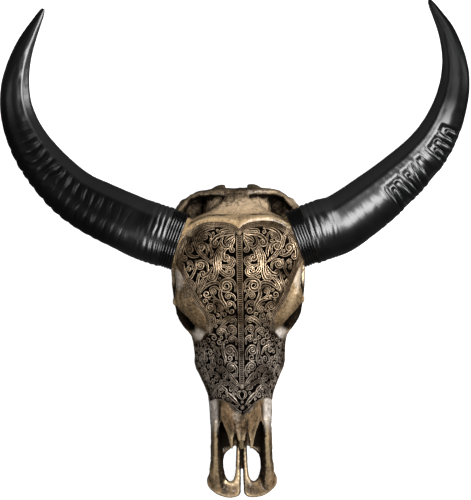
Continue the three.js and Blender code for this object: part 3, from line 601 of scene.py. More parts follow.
def motif_strokes(side, rng):
    """The measured motifs on one side. No two carved halves are quite alike."""
    made = []
    wobble = LEFT_WOBBLE if side < 0 else 0.0
    for half, curl_form, path in MOTIFS.values():
        moved = [(x + rng.uniform(-wobble, wobble), y + rng.uniform(-wobble, wobble)) for x, y in path]
        form = curl_form
        if curl_form and side < 0:
            turning, radius, turns = curl_form
            form = ("left" if turning == "right" else "right", radius, turns)
        made.append(ribbon(laid_flat(moved, side), half * RIBBON_WIDENING, form, MOTIF_LEVEL * half))
    return made


def fill_strokes(side, taken, outline, rng):
    """Small curls in the gaps between the motifs, the largest first."""
    crowd = KDTree(sum(len(stroke.line) for stroke in taken))
    halves = []
    for stroke in taken:
        for point, half in zip(stroke.line, stroke.halves):
            crowd.insert((point[0], point[1], 0), len(halves))
            halves.append(half)
    crowd.balance()
    lowest = min(y for _, y in outline)
    highest = max(y for _, y in outline)
    widest = max(abs(x) for x, _ in outline)
    spots = np.array([(side * rng.uniform(CENTRE_BAR["half"] + 2, widest), rng.uniform(lowest, highest))
                      for _ in range(FILL_SPOTS)])
    room = inside_outline(spots, outline)
    clear = np.empty(len(spots))
    for i, spot in enumerate(spots):
        near = crowd.find_n((spot[0], spot[1], 0), 3)
        clear[i] = min(distance - halves[index] for _, index, distance in near)
    clear = np.minimum(clear, room - FILL_GAPS["edge"])
    clear = np.minimum(clear, np.abs(spots[:, 0]) - CENTRE_BAR["half"] - FILL_GAPS["bar"])
    spacing = np.where(spots[:, 1] > HEART_FOOT + DESIGN_Y, FILL_ROOM["heart"], FILL_ROOM["face"])
    made = []
    for size in FILL_SIZES:
        for i in np.flatnonzero(clear > size * spacing):
            if clear[i] <= size * spacing[i]:
                continue
            made.append(small_curl(spots[i], size, rng))
            clear = np.minimum(clear, np.linalg.norm(spots - spots[i], axis=1) - size * spacing[i])
    return made


def small_curl(middle, size, rng):
    """A curl of about the given radius, with a tail that runs off to its neighbours."""
    turning = rng.choice(("left", "right"))
    heading_angle = rng.uniform(0, 2 * math.pi)
    heading = np.array([math.cos(heading_angle), math.sin(heading_angle)])
    left = np.array([-heading[1], heading[0]]) * (1 if turning == "left" else -1)
    start = middle - left * size * CURL_RING
    back = start - heading * size * 0.9 - left * size * 0.15
    far = start - heading * size * 1.5 + left * size * 0.1
    half = 0.5 + 0.13 * size
    turns = 0.85 + 0.06 * size
    form = (turning, size * CURL_RING / CURL_WIDENING, turns)
    return ribbon([far, back, start], half, form, -0.2 - 0.9 * rng.random(), 0.9)


# Carved pieces

def railed_section(rails, rail_half, groove, foot):
    """Cross section of a domed ribbon as (across, height, how far the gilding is rubbed), in half widths. Low
    rub values also paint the grooves and walls darker, as shade.
    """
    side_of_rail = (-groove, GROOVE_RUB), (-0.12, 0.75)
    heights = [*side_of_rail, (0.06, 1), *side_of_rail[::-1]]
    section = []
    for middle in np.linspace(rail_half - 1, 1 - rail_half, rails):
        for part, (height, rub) in zip((-1, -0.55, 0, 0.55, 1), heights):
            across = middle + part * rail_half
            section.append((across, height - RIBBON_DOME * across**2, rub if abs(across) < 0.99 else 0))
    return section + [(0.95, -foot, 0), (-0.95, -foot, 0)]


SECTIONS = {
    "triple": railed_section(3, 0.23, 0.45, 2.2),
    "double": railed_section(2, 0.32, 0.5, 4.5),
    "single": railed_section(1, 1.0, 0.6, 9.0),
}


def section_curve(name, points):
    """A closed flat curve that the ribbons are swept with."""
    data = bpy.data.curves.new(name, "CURVE")
    data.dimensions = "2D"
    spline = data.splines.new("POLY")
    spline.points.add(len(points) - 1)
    for target, (across, height, _) in zip(spline.points, points):
        target.co = (across, height, 0, 1)
    spline.use_cyclic_u = True
    return add_object(name, data)


def swept(strokes, section_name):
    """One flat mesh of all the strokes, each as wide as its half width says."""
    section = section_curve(section_name, SECTIONS[section_name])
    data = bpy.data.curves.new("strokes", "CURVE")
    data.dimensions = "3D"
    data.twist_mode = "Z_UP"
    data.bevel_mode = "OBJECT"
    data.bevel_object = section
    data.use_fill_caps = True
    for stroke in strokes:
        spline = data.splines.new("POLY")
        count = len(stroke.line)
        spline.points.add(count - 1)
        places = np.column_stack([stroke.line, np.full(count, stroke.level), np.ones(count)])
        spline.points.foreach_set("co", places.ravel())
        spline.points.foreach_set("radius", stroke.halves)
    mesh = finished_mesh(add_object("strokes", data))
    bpy.data.objects.remove(section)
    rubbed = [rub for _, _, rub in SECTIONS[section_name]]
    set_attribute(mesh, "relief", np.resize(rubbed, len(mesh.vertices)))
    return mesh


def bead_mesh(beads):
    """Round beads set on the flat surface, given as (distance, y, radius)."""
    shape = bmesh.new()
    bmesh.ops.create_uvsphere(shape, u_segments=8, v_segments=5, radius=1)
    corners = np.array([vertex.co for vertex in shape.verts])
    helper = add_object("beads", mesh_from(shape, "bead"))
    copies = helper.modifiers.new("one bead for each place", "ARRAY")
    copies.count = len(beads)
    copies.use_relative_offset = False
    mesh = finished_mesh(helper)
    places = np.array([(x, y, -radius * BEAD_SINK) for x, y, radius in beads])
    sizes = np.array([radius for _, _, radius in beads])
    points = (places[:, None] + corners * sizes[:, None, None]).reshape(-1, 3)
    mesh.vertices.foreach_set("co", points.ravel())
    # Bead tops rubbed bright, their lower halves painted darker as shade.
    set_attribute(mesh, "relief", np.where(points[:, 2] > 0, 1.0, 0.3))
    return mesh


def carved_mesh(strokes, gilding, beads=()):
    """Strokes and beads, laid over the skull."""
    kinds = {"triple": [], "double": [], "single": []}
    for stroke in strokes:
        half = stroke.halves.max()
        kind = "triple" if half >= TRIPLE_FROM else "double" if half >= DOUBLE_FROM else "single"
        kinds[kind].append(stroke)
    flat_meshes = [swept(chosen, kind) for kind, chosen in kinds.items() if chosen]
    if beads:
        flat_meshes.append(bead_mesh(beads))
    shape = bmesh.new()
    for flat in flat_meshes:
        shape.from_mesh(flat)
        bpy.data.meshes.remove(flat)
    bmesh.ops.recalc_face_normals(shape, faces=shape.faces)
    mesh = mesh_from(shape, "carving")
    flat_points = mesh_points(mesh) * MM
    lift = np.maximum(flat_points[:, 2], -RECESS - FOOT_DEPTH)
    set_attribute(mesh, "gilding", np.full(len(lift), gilding))
    set_mesh_points(mesh, wrap.place(np.column_stack([flat_points[:, :2], lift])))
    return mesh


def beads_along(line, radius, pitch):
    return [(x, y, radius) for x, y in smooth_line(line, pitch)]


def border_parts():
    """Rails and beads of the heart's border, the lower arch and the sides of the face."""
    rails = []
    beads = []
    for side in SIDES.values():
        for inset, half in BAND_RAILS:
            rails.append(even_ribbon(heart_edge(side, inset, RAIL_SPACING), half, RAIL_LEVEL))
        for inset in BAND_BEADS["insets"]:
            beads += beads_along(heart_edge(side, inset, 2), BAND_BEADS["radius"], BAND_BEADS["pitch"])
        arch = smooth_line(laid_flat(FACE_ARCH, side), RAIL_SPACING)
        for distance in (-ARCH_RAILS["distance"], ARCH_RAILS["distance"]):
            rails.append(even_ribbon(offset_line(arch, distance), ARCH_RAILS["half"], RAIL_LEVEL))
        beads += beads_along(arch, ARCH_BEADS["radius"], ARCH_BEADS["pitch"])
        outline = np.array(carved_outline(side, BAND_WIDTH))
        face = outline[len(heart_edge(side, BAND_WIDTH, OUTLINE_SPACING)) + 1:]
        edge = smooth_line(face, FACE_EDGE_RAIL["spacing"])
        rails.append(even_ribbon(edge, FACE_EDGE_RAIL["half"], FACE_EDGE_RAIL["level"]))
    return rails, BORDER_GILDING, beads


def centre_bar_parts():
    """The ladder down the midline, its bosses and the two rosettes."""
    top, bottom = CENTRE_BAR["top"] + DESIGN_Y, CENTRE_BAR["bottom"] + DESIGN_Y
    wide, narrow = CENTRE_BAR["half"], CENTRE_BAR["foot half"]
    rails = []
    for side in SIDES.values():
        rail = smooth_line([(wide * side, top), (narrow * side, bottom)], 2)
        rails.append(even_ribbon(rail, CENTRE_BAR["rail half"], CENTRE_BAR["rail level"]))
    count = int((top - bottom) / CENTRE_BAR["pitch"])
    rungs = []
    for y in np.linspace(top - 1, bottom + 1, count):
        half = np.interp(y, (bottom, top), (narrow, wide))
        rung = smooth_line([(-half, y - 0.5), (0, y + 0.4), (half, y - 0.5)], RAIL_SPACING)
        rungs.append(even_ribbon(rung, CENTRE_BAR["rung half"], CENTRE_BAR["rung level"]))
    beads = [(x, y + DESIGN_Y, radius) for x, y, radius in BOSSES]
    for side in SIDES.values():
        x, y = laid_flat([ROSETTE["place"]], side)[0]
        beads.append((x, y, ROSETTE["middle"]))
        for angle in np.linspace(0, 2 * math.pi, ROSETTE["petals"] + 1)[1:]:
            across, along = ROSETTE["reach"] * math.cos(angle), ROSETTE["reach"] * math.sin(angle)
            beads.append((x + across, y + along, ROSETTE["petal"]))
    return rails + rungs, BAR_GILDING, beads


# Bone surface

def shelter(mesh, points, normals):
    """How much of the open air round each vertex is cut off by other bone, from 0 to 1."""
    tree = surface_tree(mesh)
    rng = np.random.default_rng(SHELTER_SEED)
    spread = unit(rng.normal(size=(len(points) * SHELTER_RAYS, 3))).reshape(-1, SHELTER_RAYS, 3)
    found = np.zeros(len(points))
    for i in range(len(points)):
        out = Vector(normals[i])
        start = Vector(points[i]) * MM + out * BONE_GRAIN * MM
        for sideways in spread[i]:
            leaning = (out + Vector(sideways) * SHELTER_SPREAD).normalized()
            if tree.ray_cast(start, leaning, SHELTER_REACH * MM)[0]:
                found[i] += 1 / SHELTER_RAYS
    return found


def carve_bone(mesh):
    """Smooths the bone, sinks the carving's ground, roughens the rest and gives each vertex's finish."""
    points = mesh_points(mesh)
    normals = mesh_normals(mesh)
    flat, radius, raw, soft, angle = wrap.flatten(points)
    y = points[:, 1]
    outer = (np.abs(radius - raw) < 6) & (y > Wrap.Y_FRONT) & (y < Wrap.Y_BACK)
    depth_in, depth_in_band = [
        inside_outline(np.column_stack([flat, y]), carved_outline(1, inset) + carved_outline(-1, inset)[::-1])
        for inset in (BAND_WIDTH, 0)]
    panel = share(-16, -4, depth_in_band) * outer
    spread = np.stack([np.sin(angle), np.zeros(len(angle)), np.cos(angle)], axis=1)
    points += spread * ((soft - radius) * panel)[:, None]
    # The carving's ground is painted black, as the shade seen through the pierced openings and as dark
    # patina; the beaded band's ground is darkened nearly as much.
    ground = share(0.2, 1.8, depth_in) * outer
    band = share(0.3, 1.5, depth_in_band) * outer
    points -= spread * (ground * (RECESS - BAND_DEPTH) + band * BAND_DEPTH)[:, None]
    ground = np.maximum(ground, 0.85 * band)
    rough = sum(value_noise(points, size, seed) * height for size, seed, height in BONE_ROUGHNESS)
    rough *= 1 + NAPE_ROUGHNESS * share(70, 90, y)
    points += normals * (rough * (1 - panel * 0.7))[:, None]
    points[:, 2] = np.maximum(points[:, 2], FLOOR_LEVEL)
    set_mesh_points(mesh, points)
    panel_edge = share(-7, -2, depth_in_band) * outer
    return bone_finish(mesh, points, ground, panel_edge)


def bone_finish(mesh, points, ground, panel_edge):
    """How far each vertex is carved ground (painted black as shade), rubbed (with painted highlight streaks),
    dirty or in painted shade, pale (partly a painted reflection) or tooth.
    """
    normals = mesh_normals(mesh)
    near = Neighbours(mesh)
    x, y, z = points.T
    closed_in = near.average(shelter(mesh, points, normals)[:, None], FINE_ROUNDS)[:, 0]
    fine = ((near.average(points, FINE_ROUNDS) - points) * normals).sum(axis=1)
    broad = ((near.average(points, BROAD_ROUNDS) - points) * normals).sum(axis=1)
    # Painted shade round the eyes: the plates' lower parts and the black of the sockets.
    under_brow = eye_shade(points)
    bright = (1 - ground) * (1 - 0.9 * share(60, 78, y)) * (1 - under_brow) * (1 - panel_edge)
    ridges = 0.7 * share(0.1, 0.7, -fine) + 0.5 * share(0.4, 3.0, -broad)
    # Dirt and painted shade: darker in fine grooves and broad hollows, partly the patina's own; painted shade
    # where other bone closes in the air round a vertex, round the eyes and in the nose; dark sutures; darker
    # toward the nape's back edge.
    dirt_and_shade = share(0.15, 1.0, fine) + share(0.5, 3.2, broad) + 0.85 * share(0.3, 0.8, closed_in)
    dirt_and_shade = dirt_and_shade + under_brow + nose_dirt_and_shade(points, normals) + 0.3 * share(84, 96, y)
    # Painted highlights as gold streaks, beside the right eye and at the snout's left end.
    streaks = 0.9 * painted_highlight_streaks(points, normals) * (1 - ground)
    return {
        "ground": ground,
        # wear: rubbed ridges, and the painted highlight streaks.
        "wear": np.clip(ridges, 0, 1) * bright + streaks,
        # hollow carries dirt and painted shade.
        "hollow": np.clip(dirt_and_shade, 0, 1) * (1 - ground),
        # pale: greyer lumps and painted pale reflections.
        "pale": pale_lumps_and_reflections(points) * (1 - ground),
        "tooth": share(31, 27, z) * (y < -130) * (y > -275) * (np.abs(x) > 20),
    }


def eye_shade(points):
    """Darker plates beside the eyes and the arches behind them, deepest on their lower parts as painted
    shade, and the sockets' black, painted shade where the eye openings lie.
    """
    x, y, z = np.abs(points[:, 0]), points[:, 1] - DESIGN_Y, points[:, 2]
    beside = share(-140, -124, y) * share(-46, -66, y) * share(50, 60, x)
    socket = share(-2, 1.5, inside_outline(np.column_stack([x, y]), EYE_SOCKET))
    return np.maximum(beside * (0.3 + 0.7 * share(146, 128, z)), socket)


def painted_highlight_streaks(points, normals):
    """Painted highlights, laid as bright gold streaks on the bone."""
    found = np.zeros(len(points))
    for (x, y), (run_x, run_y), long, wide in PAINTED_HIGHLIGHT_STREAKS:
        beside, ahead = points[:, 0] - x, points[:, 1] - DESIGN_Y - y
        along, off = run_x * beside + run_y * ahead, run_y * beside - run_x * ahead
        found += np.exp(-((along / long) ** 2) - (off / wide) ** 2)
    return found * share(0.1, 0.5, normals[:, 2])


def nose_dirt_and_shade(points, normals):
    """Dirt in the sutures of the nasal bones, painted shade in their notches and on the inner walls of the
    nose opening, and darkening on a low shelf inside it.
    """
    x, y, z = np.abs(points[:, 0]), points[:, 1], points[:, 2]
    (suture_x, suture_y), (out_x, out_y) = NASAL_SUTURE
    beside = (x - suture_x) * out_x + (y - suture_y) * out_y
    lines = np.exp(-(beside / 1.5) ** 2) + 0.7 * np.exp(-(x / 1.2) ** 2)
    # Painted shade: dark lines that carry the notches between the prongs further up.
    notches = 0.9 * np.exp(-(((x - 10.5) / 1.3) ** 2)) * share(-271, -281, y)
    sutures = (0.8 * lines * share(-238, -250, y) + notches) * (z > 96)
    # Painted shade on the inner walls of the nose opening.
    inner_walls = share(0.2, 0.65, -normals[:, 0] * np.sign(points[:, 0])) * share(-255, -272, y)
    shelf = share(12, 15, x) * share(36, 32, x) * share(-289, -297, y) * share(-330, -322, y) * (z < 100)
    return sutures + 0.85 * inner_walls + shelf


def pale_lumps_and_reflections(points):
    """The greyer lumps before the eyes, and painted pale reflections on the saddles behind them and on the
    jaw's sides below the carving.
    """
    x, y, z = np.abs(points[:, 0]), points[:, 1] - DESIGN_Y, points[:, 2]
    lump = np.hypot((x - 68) / 9, (y + 137) / 9)
    # Painted reflection of the pale floor on the jaw's sides.
    jaw = share(-238, -250, y) * share(-312, -276, y) * share(36, 42, x) * share(62, 84, z)
    # Painted pale reflection on the saddles behind the eyes.
    saddle = np.hypot((x - 98) / 10, (y + 45) / 20)
    patchy = 0.7 + 0.4 * value_noise(points, 4, 8)
    lump_share = share(1.5, 0.3, lump) * (z > 88)
    saddle_share = 0.5 * share(1.1, 0.5, saddle) * (z > 120)
    return np.clip(patchy * (lump_share + 0.95 * jaw + saddle_share), 0, 1)


# Parting of the bones

def midline(side):
    return ((0, 0, 0), (-side, 0, 0))


def bone_planes():
    """Each bone lies behind its planes, which are given as a point and the direction out of the bone."""
    (suture_x, suture_y), (out_x, out_y) = NASAL_SUTURE
    planes = {"occipital_bone": [((0, 71, 0), (0, -1, 0))]}
    for name, side in SIDES.items():
        planes[f"nasal_bone_{name}"] = [
            midline(side),
            ((12 * side, -143, 0), (0.86 * side, 0.5, 0)),
            ((suture_x * side, suture_y, 0), (out_x * side, out_y, 0)),
            ((0, -233, 136), (0, 0.32, -0.947)),
        ]
        planes[f"premaxilla_{name}"] = [midline(side), ((0, -285, 30), (0, 1, 0.18))]
        planes[f"maxilla_with_teeth_{name}"] = [midline(side), ((0, -135, 100), (0, 1, 0.12))]
        planes[f"cheek_bone_{name}"] = [
            ((62 * side, 0, 0), (-side, 0, 0)),
            ((0, 0, 112), (0, 0, 1)),
            ((0, -23, 90), (0, 1, 0.3)),
        ]
    return planes


def bone_block(planes, growth):
    """A big block cut back to the planes of one bone."""
    shape = bmesh.new()
    bmesh.ops.create_cube(shape, size=1.2)
    for through, facing in planes:
        out = Vector(facing).normalized()
        cut = bmesh.ops.bisect_plane(
            shape, geom=shape.verts[:] + shape.edges[:] + shape.faces[:],
            plane_co=Vector(through) * MM + out * growth * MM, plane_no=out, clear_outer=True)
        rim = [e for e in cut["geom_cut"] if isinstance(e, bmesh.types.BMEdge)]
        bmesh.ops.contextual_create(shape, geom=rim)
    bmesh.ops.recalc_face_normals(shape, faces=shape.faces)
    return add_object("bone block", mesh_from(shape, "bone block"))


def combined(mesh, block, operation):
    """A mesh cut by a block, or what it shares with it."""
    helper = add_object("bone", mesh)
    cut = helper.modifiers.new("suture", "BOOLEAN")
    cut.solver = "MANIFOLD"
    cut.operation = operation
    cut.object = block
    return finished_mesh(helper)


def suture_wave(points):
    """The small sideways wander of a suture."""
    waves = [value_noise(points, 7, seed) + 0.5 * value_noise(points, 3, seed + 3) for seed in (21, 22, 23)]
    return SUTURE_WAVE * np.stack(waves, axis=1)


def parted_bones(mesh):
    """The skin parted into its bones along wandering sutures."""
    points = mesh_points(mesh)
    set_mesh_points(mesh, points + suture_wave(points))
    bones = {}
    rest = mesh
    for name, planes in bone_planes().items():
        inner = bone_block(planes, -SUTURE_GAP / 2)
        outer = bone_block(planes, SUTURE_GAP / 2)
        bones[name] = combined(rest.copy(), inner, "INTERSECT")
        rest = combined(rest, outer, "DIFFERENCE")
        bpy.data.objects.remove(inner)
        bpy.data.objects.remove(outer)
    bones["cranium"] = rest
    for bone in bones.values():
        moved = mesh_points(bone)
        set_mesh_points(bone, moved - suture_wave(moved))
    return bones


def copy_attributes(bones, source_points, values):
    """Gives each bone the finish values of the skin that it was cut from."""
    tree = KDTree(len(source_points))
    for i, point in enumerate(source_points):
        tree.insert(point, i)
    tree.balance()
    for bone in bones.values():
        nearest = np.array([tree.find(point)[1] for point in mesh_points(bone)])
        for name, column in values.items():
            set_attribute(bone, name, column[nearest])


# Horns and bindings

def horn_root(side, along):
    """A point on the straight root of a horn, some way along from the bone."""
    axis = np.array(HORN_AXIS) / np.linalg.norm(HORN_AXIS)
    place = np.array(HORN_ROOT) + axis * along
    return np.array([place[0] * side, place[1] + DESIGN_Y, place[2]])


def horn_frame(tangents, side):
    """Directions across a horn, toward its inner side and up."""
    inward = unit(np.stack([-tangents[:, 1] * side, tangents[:, 0] * side, np.zeros(len(tangents))], axis=1))
    rise = unit(np.cross(tangents, inward) * side)
    return inward, rise


def horn_line(name):
    """Points 1 mm apart along the middle of a horn."""
    side = SIDES[name]
    stops = [(x * side, y + DESIGN_Y, z) for x, y, z in HORN_PATHS[name]]
    return smooth_line([horn_root(side, BINDING_LENGTH + 0.3), horn_root(side, 50)] + stops, 1.0)


def on_horn(centre, inward, rise, half, angle):
    """Points at the given angles round a horn's flattened and leaning section."""
    swell = 1 + 0.035 * np.cos(3 * angle - 0.9)
    a = half * swell * (np.cos(angle) + HORN_LEAN * np.sin(angle))
    b = half * swell * HORN_FLATNESS * np.sin(angle)
    return centre + inward * a[:, None] + rise * b[:, None]


def finger_folds(along, angle, first, last, rng):
    """Depth of the creases round finger-shaped folds from the middle of the horn's face to its outer side."""
    raised = np.zeros(len(along))
    place = first
    while place < last:
        half = rng.uniform(3.6, 5.6)
        tip = rng.uniform(1.6, 2.1)
        lean = rng.uniform(-7, 4)
        sideways = (along - place - lean * (angle - tip)) / half
        past_tip = np.maximum(tip - angle, 0) * HORN_FACE_RADIUS / half
        raised = np.maximum(raised, np.sqrt(np.clip(1 - np.hypot(sideways, past_tip) ** 2, 0, 1)))
        place += 2 * half + rng.uniform(1.0, 3.0)
    ends = share(first - 8, first, along) * share(last + 8, last, along)
    face = share(1.5, 1.8, angle) * share(3.6, 3.1, angle)
    return FINGER_DEPTH * (1 - raised) * ends * face


def fold_zone(t, angle):
    """How much the horn is folded at a share of its length, on its upper and outer side."""
    return share(0.08, 0.24, t) * share(0.68, 0.5, t) * share(0.46, 0.1, np.cos(angle))


def horn_relief(name, along, angle, length, seed):
    """Height of the cross folds, the rings at the root and the crest along the inner strip."""
    t = along / length
    place = np.stack([along, HORN_FACE_RADIUS * np.cos(angle), HORN_FACE_RADIUS * np.sin(angle)], axis=1)
    wander = value_noise(place, 34, seed) * 5 + value_noise(place, 12, seed + 1) * 2.2
    slow = np.abs(np.sin(math.pi * (along + wander) / FOLD_PITCH)) ** 0.6
    quick = np.abs(np.sin(math.pi * (along + 2 * wander) / (0.43 * FOLD_PITCH)))
    strength = 0.7 + 0.5 * value_noise(place * np.array([0.5, 1, 1]), 22, seed + 2)
    zone = fold_zone(t, angle)
    collar = share(50, 12, along)
    folds = FOLD_HEIGHT[name] * (slow + 0.2 * quick - 0.5) * strength * zone
    rings = (np.abs(np.sin(math.pi * (along + 0.5 * wander) / RING_PITCH)) - 1) * 1.3 * collar
    held = share(0.04, 0.16, t) * share(0.92, 0.6, t)
    crest = np.exp(-((angle - CREST_ANGLE) / 0.16) ** 2) * held
    dip = np.exp(-((angle - CREST_ANGLE + 0.45) / 0.3) ** 2) * held
    lumps = value_noise(place, 48, seed + 4) * share(0.85, 0.5, t)
    height = folds + rings + 1.3 * crest - 1.2 * dip + 0.9 * lumps + 0.25 * value_noise(place, 13, seed + 5)
    rng = random.Random(seed)
    for first, last in FINGER_FOLDS[name]:
        height -= finger_folds(along + 0.3 * wander, angle, first * length, last * length, rng)
    return height


def horn_mesh(name):
    """A flat grid rolled round the horn's middle line and closed at its ends."""
    side = SIDES[name]
    line = horn_line(name)
    tangents = unit(np.gradient(line, axis=0))
    length = len(line) - 1
    shape = bmesh.new()
    bmesh.ops.create_grid(shape, x_segments=length, y_segments=FACETS_ROUND_HORN, size=0.5)
    mesh = bpy.data.meshes.new(f"horn {name}")
    shape.to_mesh(mesh)
    unrolled = mesh_points(mesh) * MM + 0.5
    t = unrolled[:, 0]
    angle = unrolled[:, 1] * 2 * math.pi
    along = t * length
    stops = np.arange(length + 1)
    centre = between_stops(along, stops, line)
    tangent = unit(between_stops(along, stops, tangents))
    inward, rise = horn_frame(tangent, side)
    half = np.interp(t, *np.array(HORN_TAPER).T)
    relief = horn_relief(name, along, angle, length, HORN_SEED + side) * share(0, 12, half)
    points = on_horn(centre, inward, rise, half + relief, angle)
    matte_face = MATTE_FACE[name] * share(0.1, 0.2, t) * share(0.75, 0.6, t)
    matte_tip = MATTE_TIP[name] * share(0.54, 0.68, t)
    wear = {"along": t, "inner": share(0.34, 0.5, np.cos(angle)), "matte": matte_face + matte_tip}
    for key, values in wear.items():
        layer = shape.verts.layers.float.new(key)
        for vertex, value in zip(shape.verts, values):
            vertex[layer] = value
    for vertex, point in zip(shape.verts, points):
        vertex.co = point * MM
    bmesh.ops.remove_doubles(shape, verts=shape.verts, dist=0.02 * MM)
    bmesh.ops.holes_fill(shape, edges=[e for e in shape.edges if e.is_boundary], sides=0)
    bmesh.ops.recalc_face_normals(shape, faces=shape.faces)
    shape.to_mesh(mesh)
    shape.free()
    return mesh


def binding_mesh(name):
    """Cord wound round the root of a horn, turn against turn."""
    side = SIDES[name]
    radius = BINDING_LENGTH / CORD_TURNS / 2
    t = np.linspace(0, 1, CORD_TURNS * CORD_STEPS + 1)
    angle = 2 * math.pi * CORD_TURNS * t
    root, far = horn_root(side, radius - 1), horn_root(side, BINDING_LENGTH + 0.5)
    centre = root + (far - root) * t[:, None]
    axis = unit((far - root)[None])
    inward, rise = horn_frame(np.repeat(axis, len(t), axis=0), side)
    half = CORE_HALF + radius + 0.15 * np.sin(5 * t * CORD_TURNS)
    points = on_horn(centre, inward, rise, half, angle)
    data = bpy.data.curves.new(f"cord {name}", "CURVE")
    data.dimensions = "3D"
    data.bevel_depth = radius * CORD_OVERLAP * MM
    data.bevel_resolution = 3
    data.use_fill_caps = True
    spline = data.splines.new("POLY")
    spline.points.add(len(points) - 1)
    spline.points.foreach_set("co", np.column_stack([points * MM, np.ones(len(points))]).ravel())
    return finished_mesh(add_object(f"cord {name}", data))


# Materials. Colours are in linear light.

DARK_BRONZE = (0.026, 0.0165, 0.009, 1)
LIGHT_BRONZE = (0.12, 0.075, 0.039, 1)
FOREHEAD_BROWN = (0.22, 0.145, 0.072, 1)
NAPE_TAN = (0.4, 0.295, 0.19, 1)
NAPE_RIM_BROWN = (0.12, 0.086, 0.053, 1)
# Dark of dirt and of painted shade in the bone's hollows.
BONE_DIRT_AND_SHADE = (0.007, 0.005, 0.0035, 1)
BONE_GOLD = (0.56, 0.41, 0.24, 1)
TOOTH_IVORY = (0.36, 0.3, 0.21, 1)
# Grey of the pale lumps and of the painted reflections on the saddles and jaw.
PALE_BONE_AND_REFLECTION = (0.56, 0.5, 0.44, 1)
GROUND_SHADE_BLACK = (0.0015, 0.0012, 0.001, 1)
SCROLL_BROWN = (0.042, 0.026, 0.014, 1)
FACE_SCROLL_BROWN = (0.036, 0.026, 0.019, 1)
SCROLL_GOLD = (0.88, 0.66, 0.44, 1)
FACE_SCROLL_GOLD = (0.78, 0.66, 0.54, 1)
# Dark of dirt and painted shade in the carving's grooves and walls.
SCROLL_DIRT_AND_SHADE = (0.0018, 0.0014, 0.001, 1)
DEEP_HORN_BLACK = (0.0006, 0.0006, 0.0006, 1)
HORN_BLACK = (0.002, 0.002, 0.002, 1)
DULL_HORN_BLACK = (0.002, 0.002, 0.0021, 1)
INNER_HORN_GREY = (0.009, 0.009, 0.0094, 1)
DEEP_CORD_BLACK = (0.0005, 0.0005, 0.0005, 1)
CORD_BLACK = (0.002, 0.002, 0.002, 1)


class Nodes:
    """Short calls for building a node tree."""

    def __init__(self, tree):
        self.tree = tree

    def add(self, kind, settings=None, **inputs):
        """A node with its settings. Inputs are fed by name, with _ for a space."""
        made = self.tree.nodes.new(kind)
        for key, value in (settings or {}).items():
            setattr(made, key, value)
        for key, value in inputs.items():
            self.feed(made.inputs[key.replace("_", " ")], value)
        return made

    def feed(self, socket, value):
        if isinstance(value, bpy.types.NodeSocket):
            self.tree.links.new(value, socket)
        else:
            socket.default_value = value

    def math(self, operation, *values):
        made = self.tree.nodes.new("ShaderNodeMath")
        made.operation = operation
        for socket, value in zip(made.inputs, values):
            self.feed(socket, value)
        return made.outputs[0]

    def blend(self, factor, first, second):
        """A mix of two colours."""
        made = self.tree.nodes.new("ShaderNodeMix")
        made.data_type = "RGBA"
        for index, value in ((0, factor), (6, first), (7, second)):
            self.feed(made.inputs[index], value)
        return made.outputs[2]

    def between(self, value, low, high, first=0.0, second=1.0):
        """A value carried over from the range low to high into the range first to second."""
        made = self.tree.nodes.new("ShaderNodeMapRange")
        for index, given in enumerate((value, low, high, first, second)):
            self.feed(made.inputs[index], given)
        return made.outputs[0]

    def noise(self, vector, scale, detail, roughness):
        made = self.add("ShaderNodeTexNoise", Vector=vector, Scale=scale, Detail=detail, Roughness=roughness)
        return made.outputs["Fac"]

    def attribute(self, name):
        return self.add("ShaderNodeAttribute", {"attribute_name": name}).outputs["Fac"]

    def place(self):
        """Object coordinates, which are the same for every piece."""
        return self.add("ShaderNodeTexCoord").outputs["Object"]


def new_group(name, inputs, outputs):
    """An empty node group with its named sockets. Gives the group, its entry, its exit and its node maker."""
    group = bpy.data.node_groups.new(name, "ShaderNodeTree")
    for socket_name, kind, value in inputs:
        socket = group.interface.new_socket(socket_name, in_out="INPUT", socket_type=kind)
        if value is not None:
            socket.default_value = value
    for socket_name, kind in outputs:
        group.interface.new_socket(socket_name, in_out="OUTPUT", socket_type=kind)
    nodes = Nodes(group)
    return group, nodes.add("NodeGroupInput").outputs, nodes.add("NodeGroupOutput").inputs, nodes


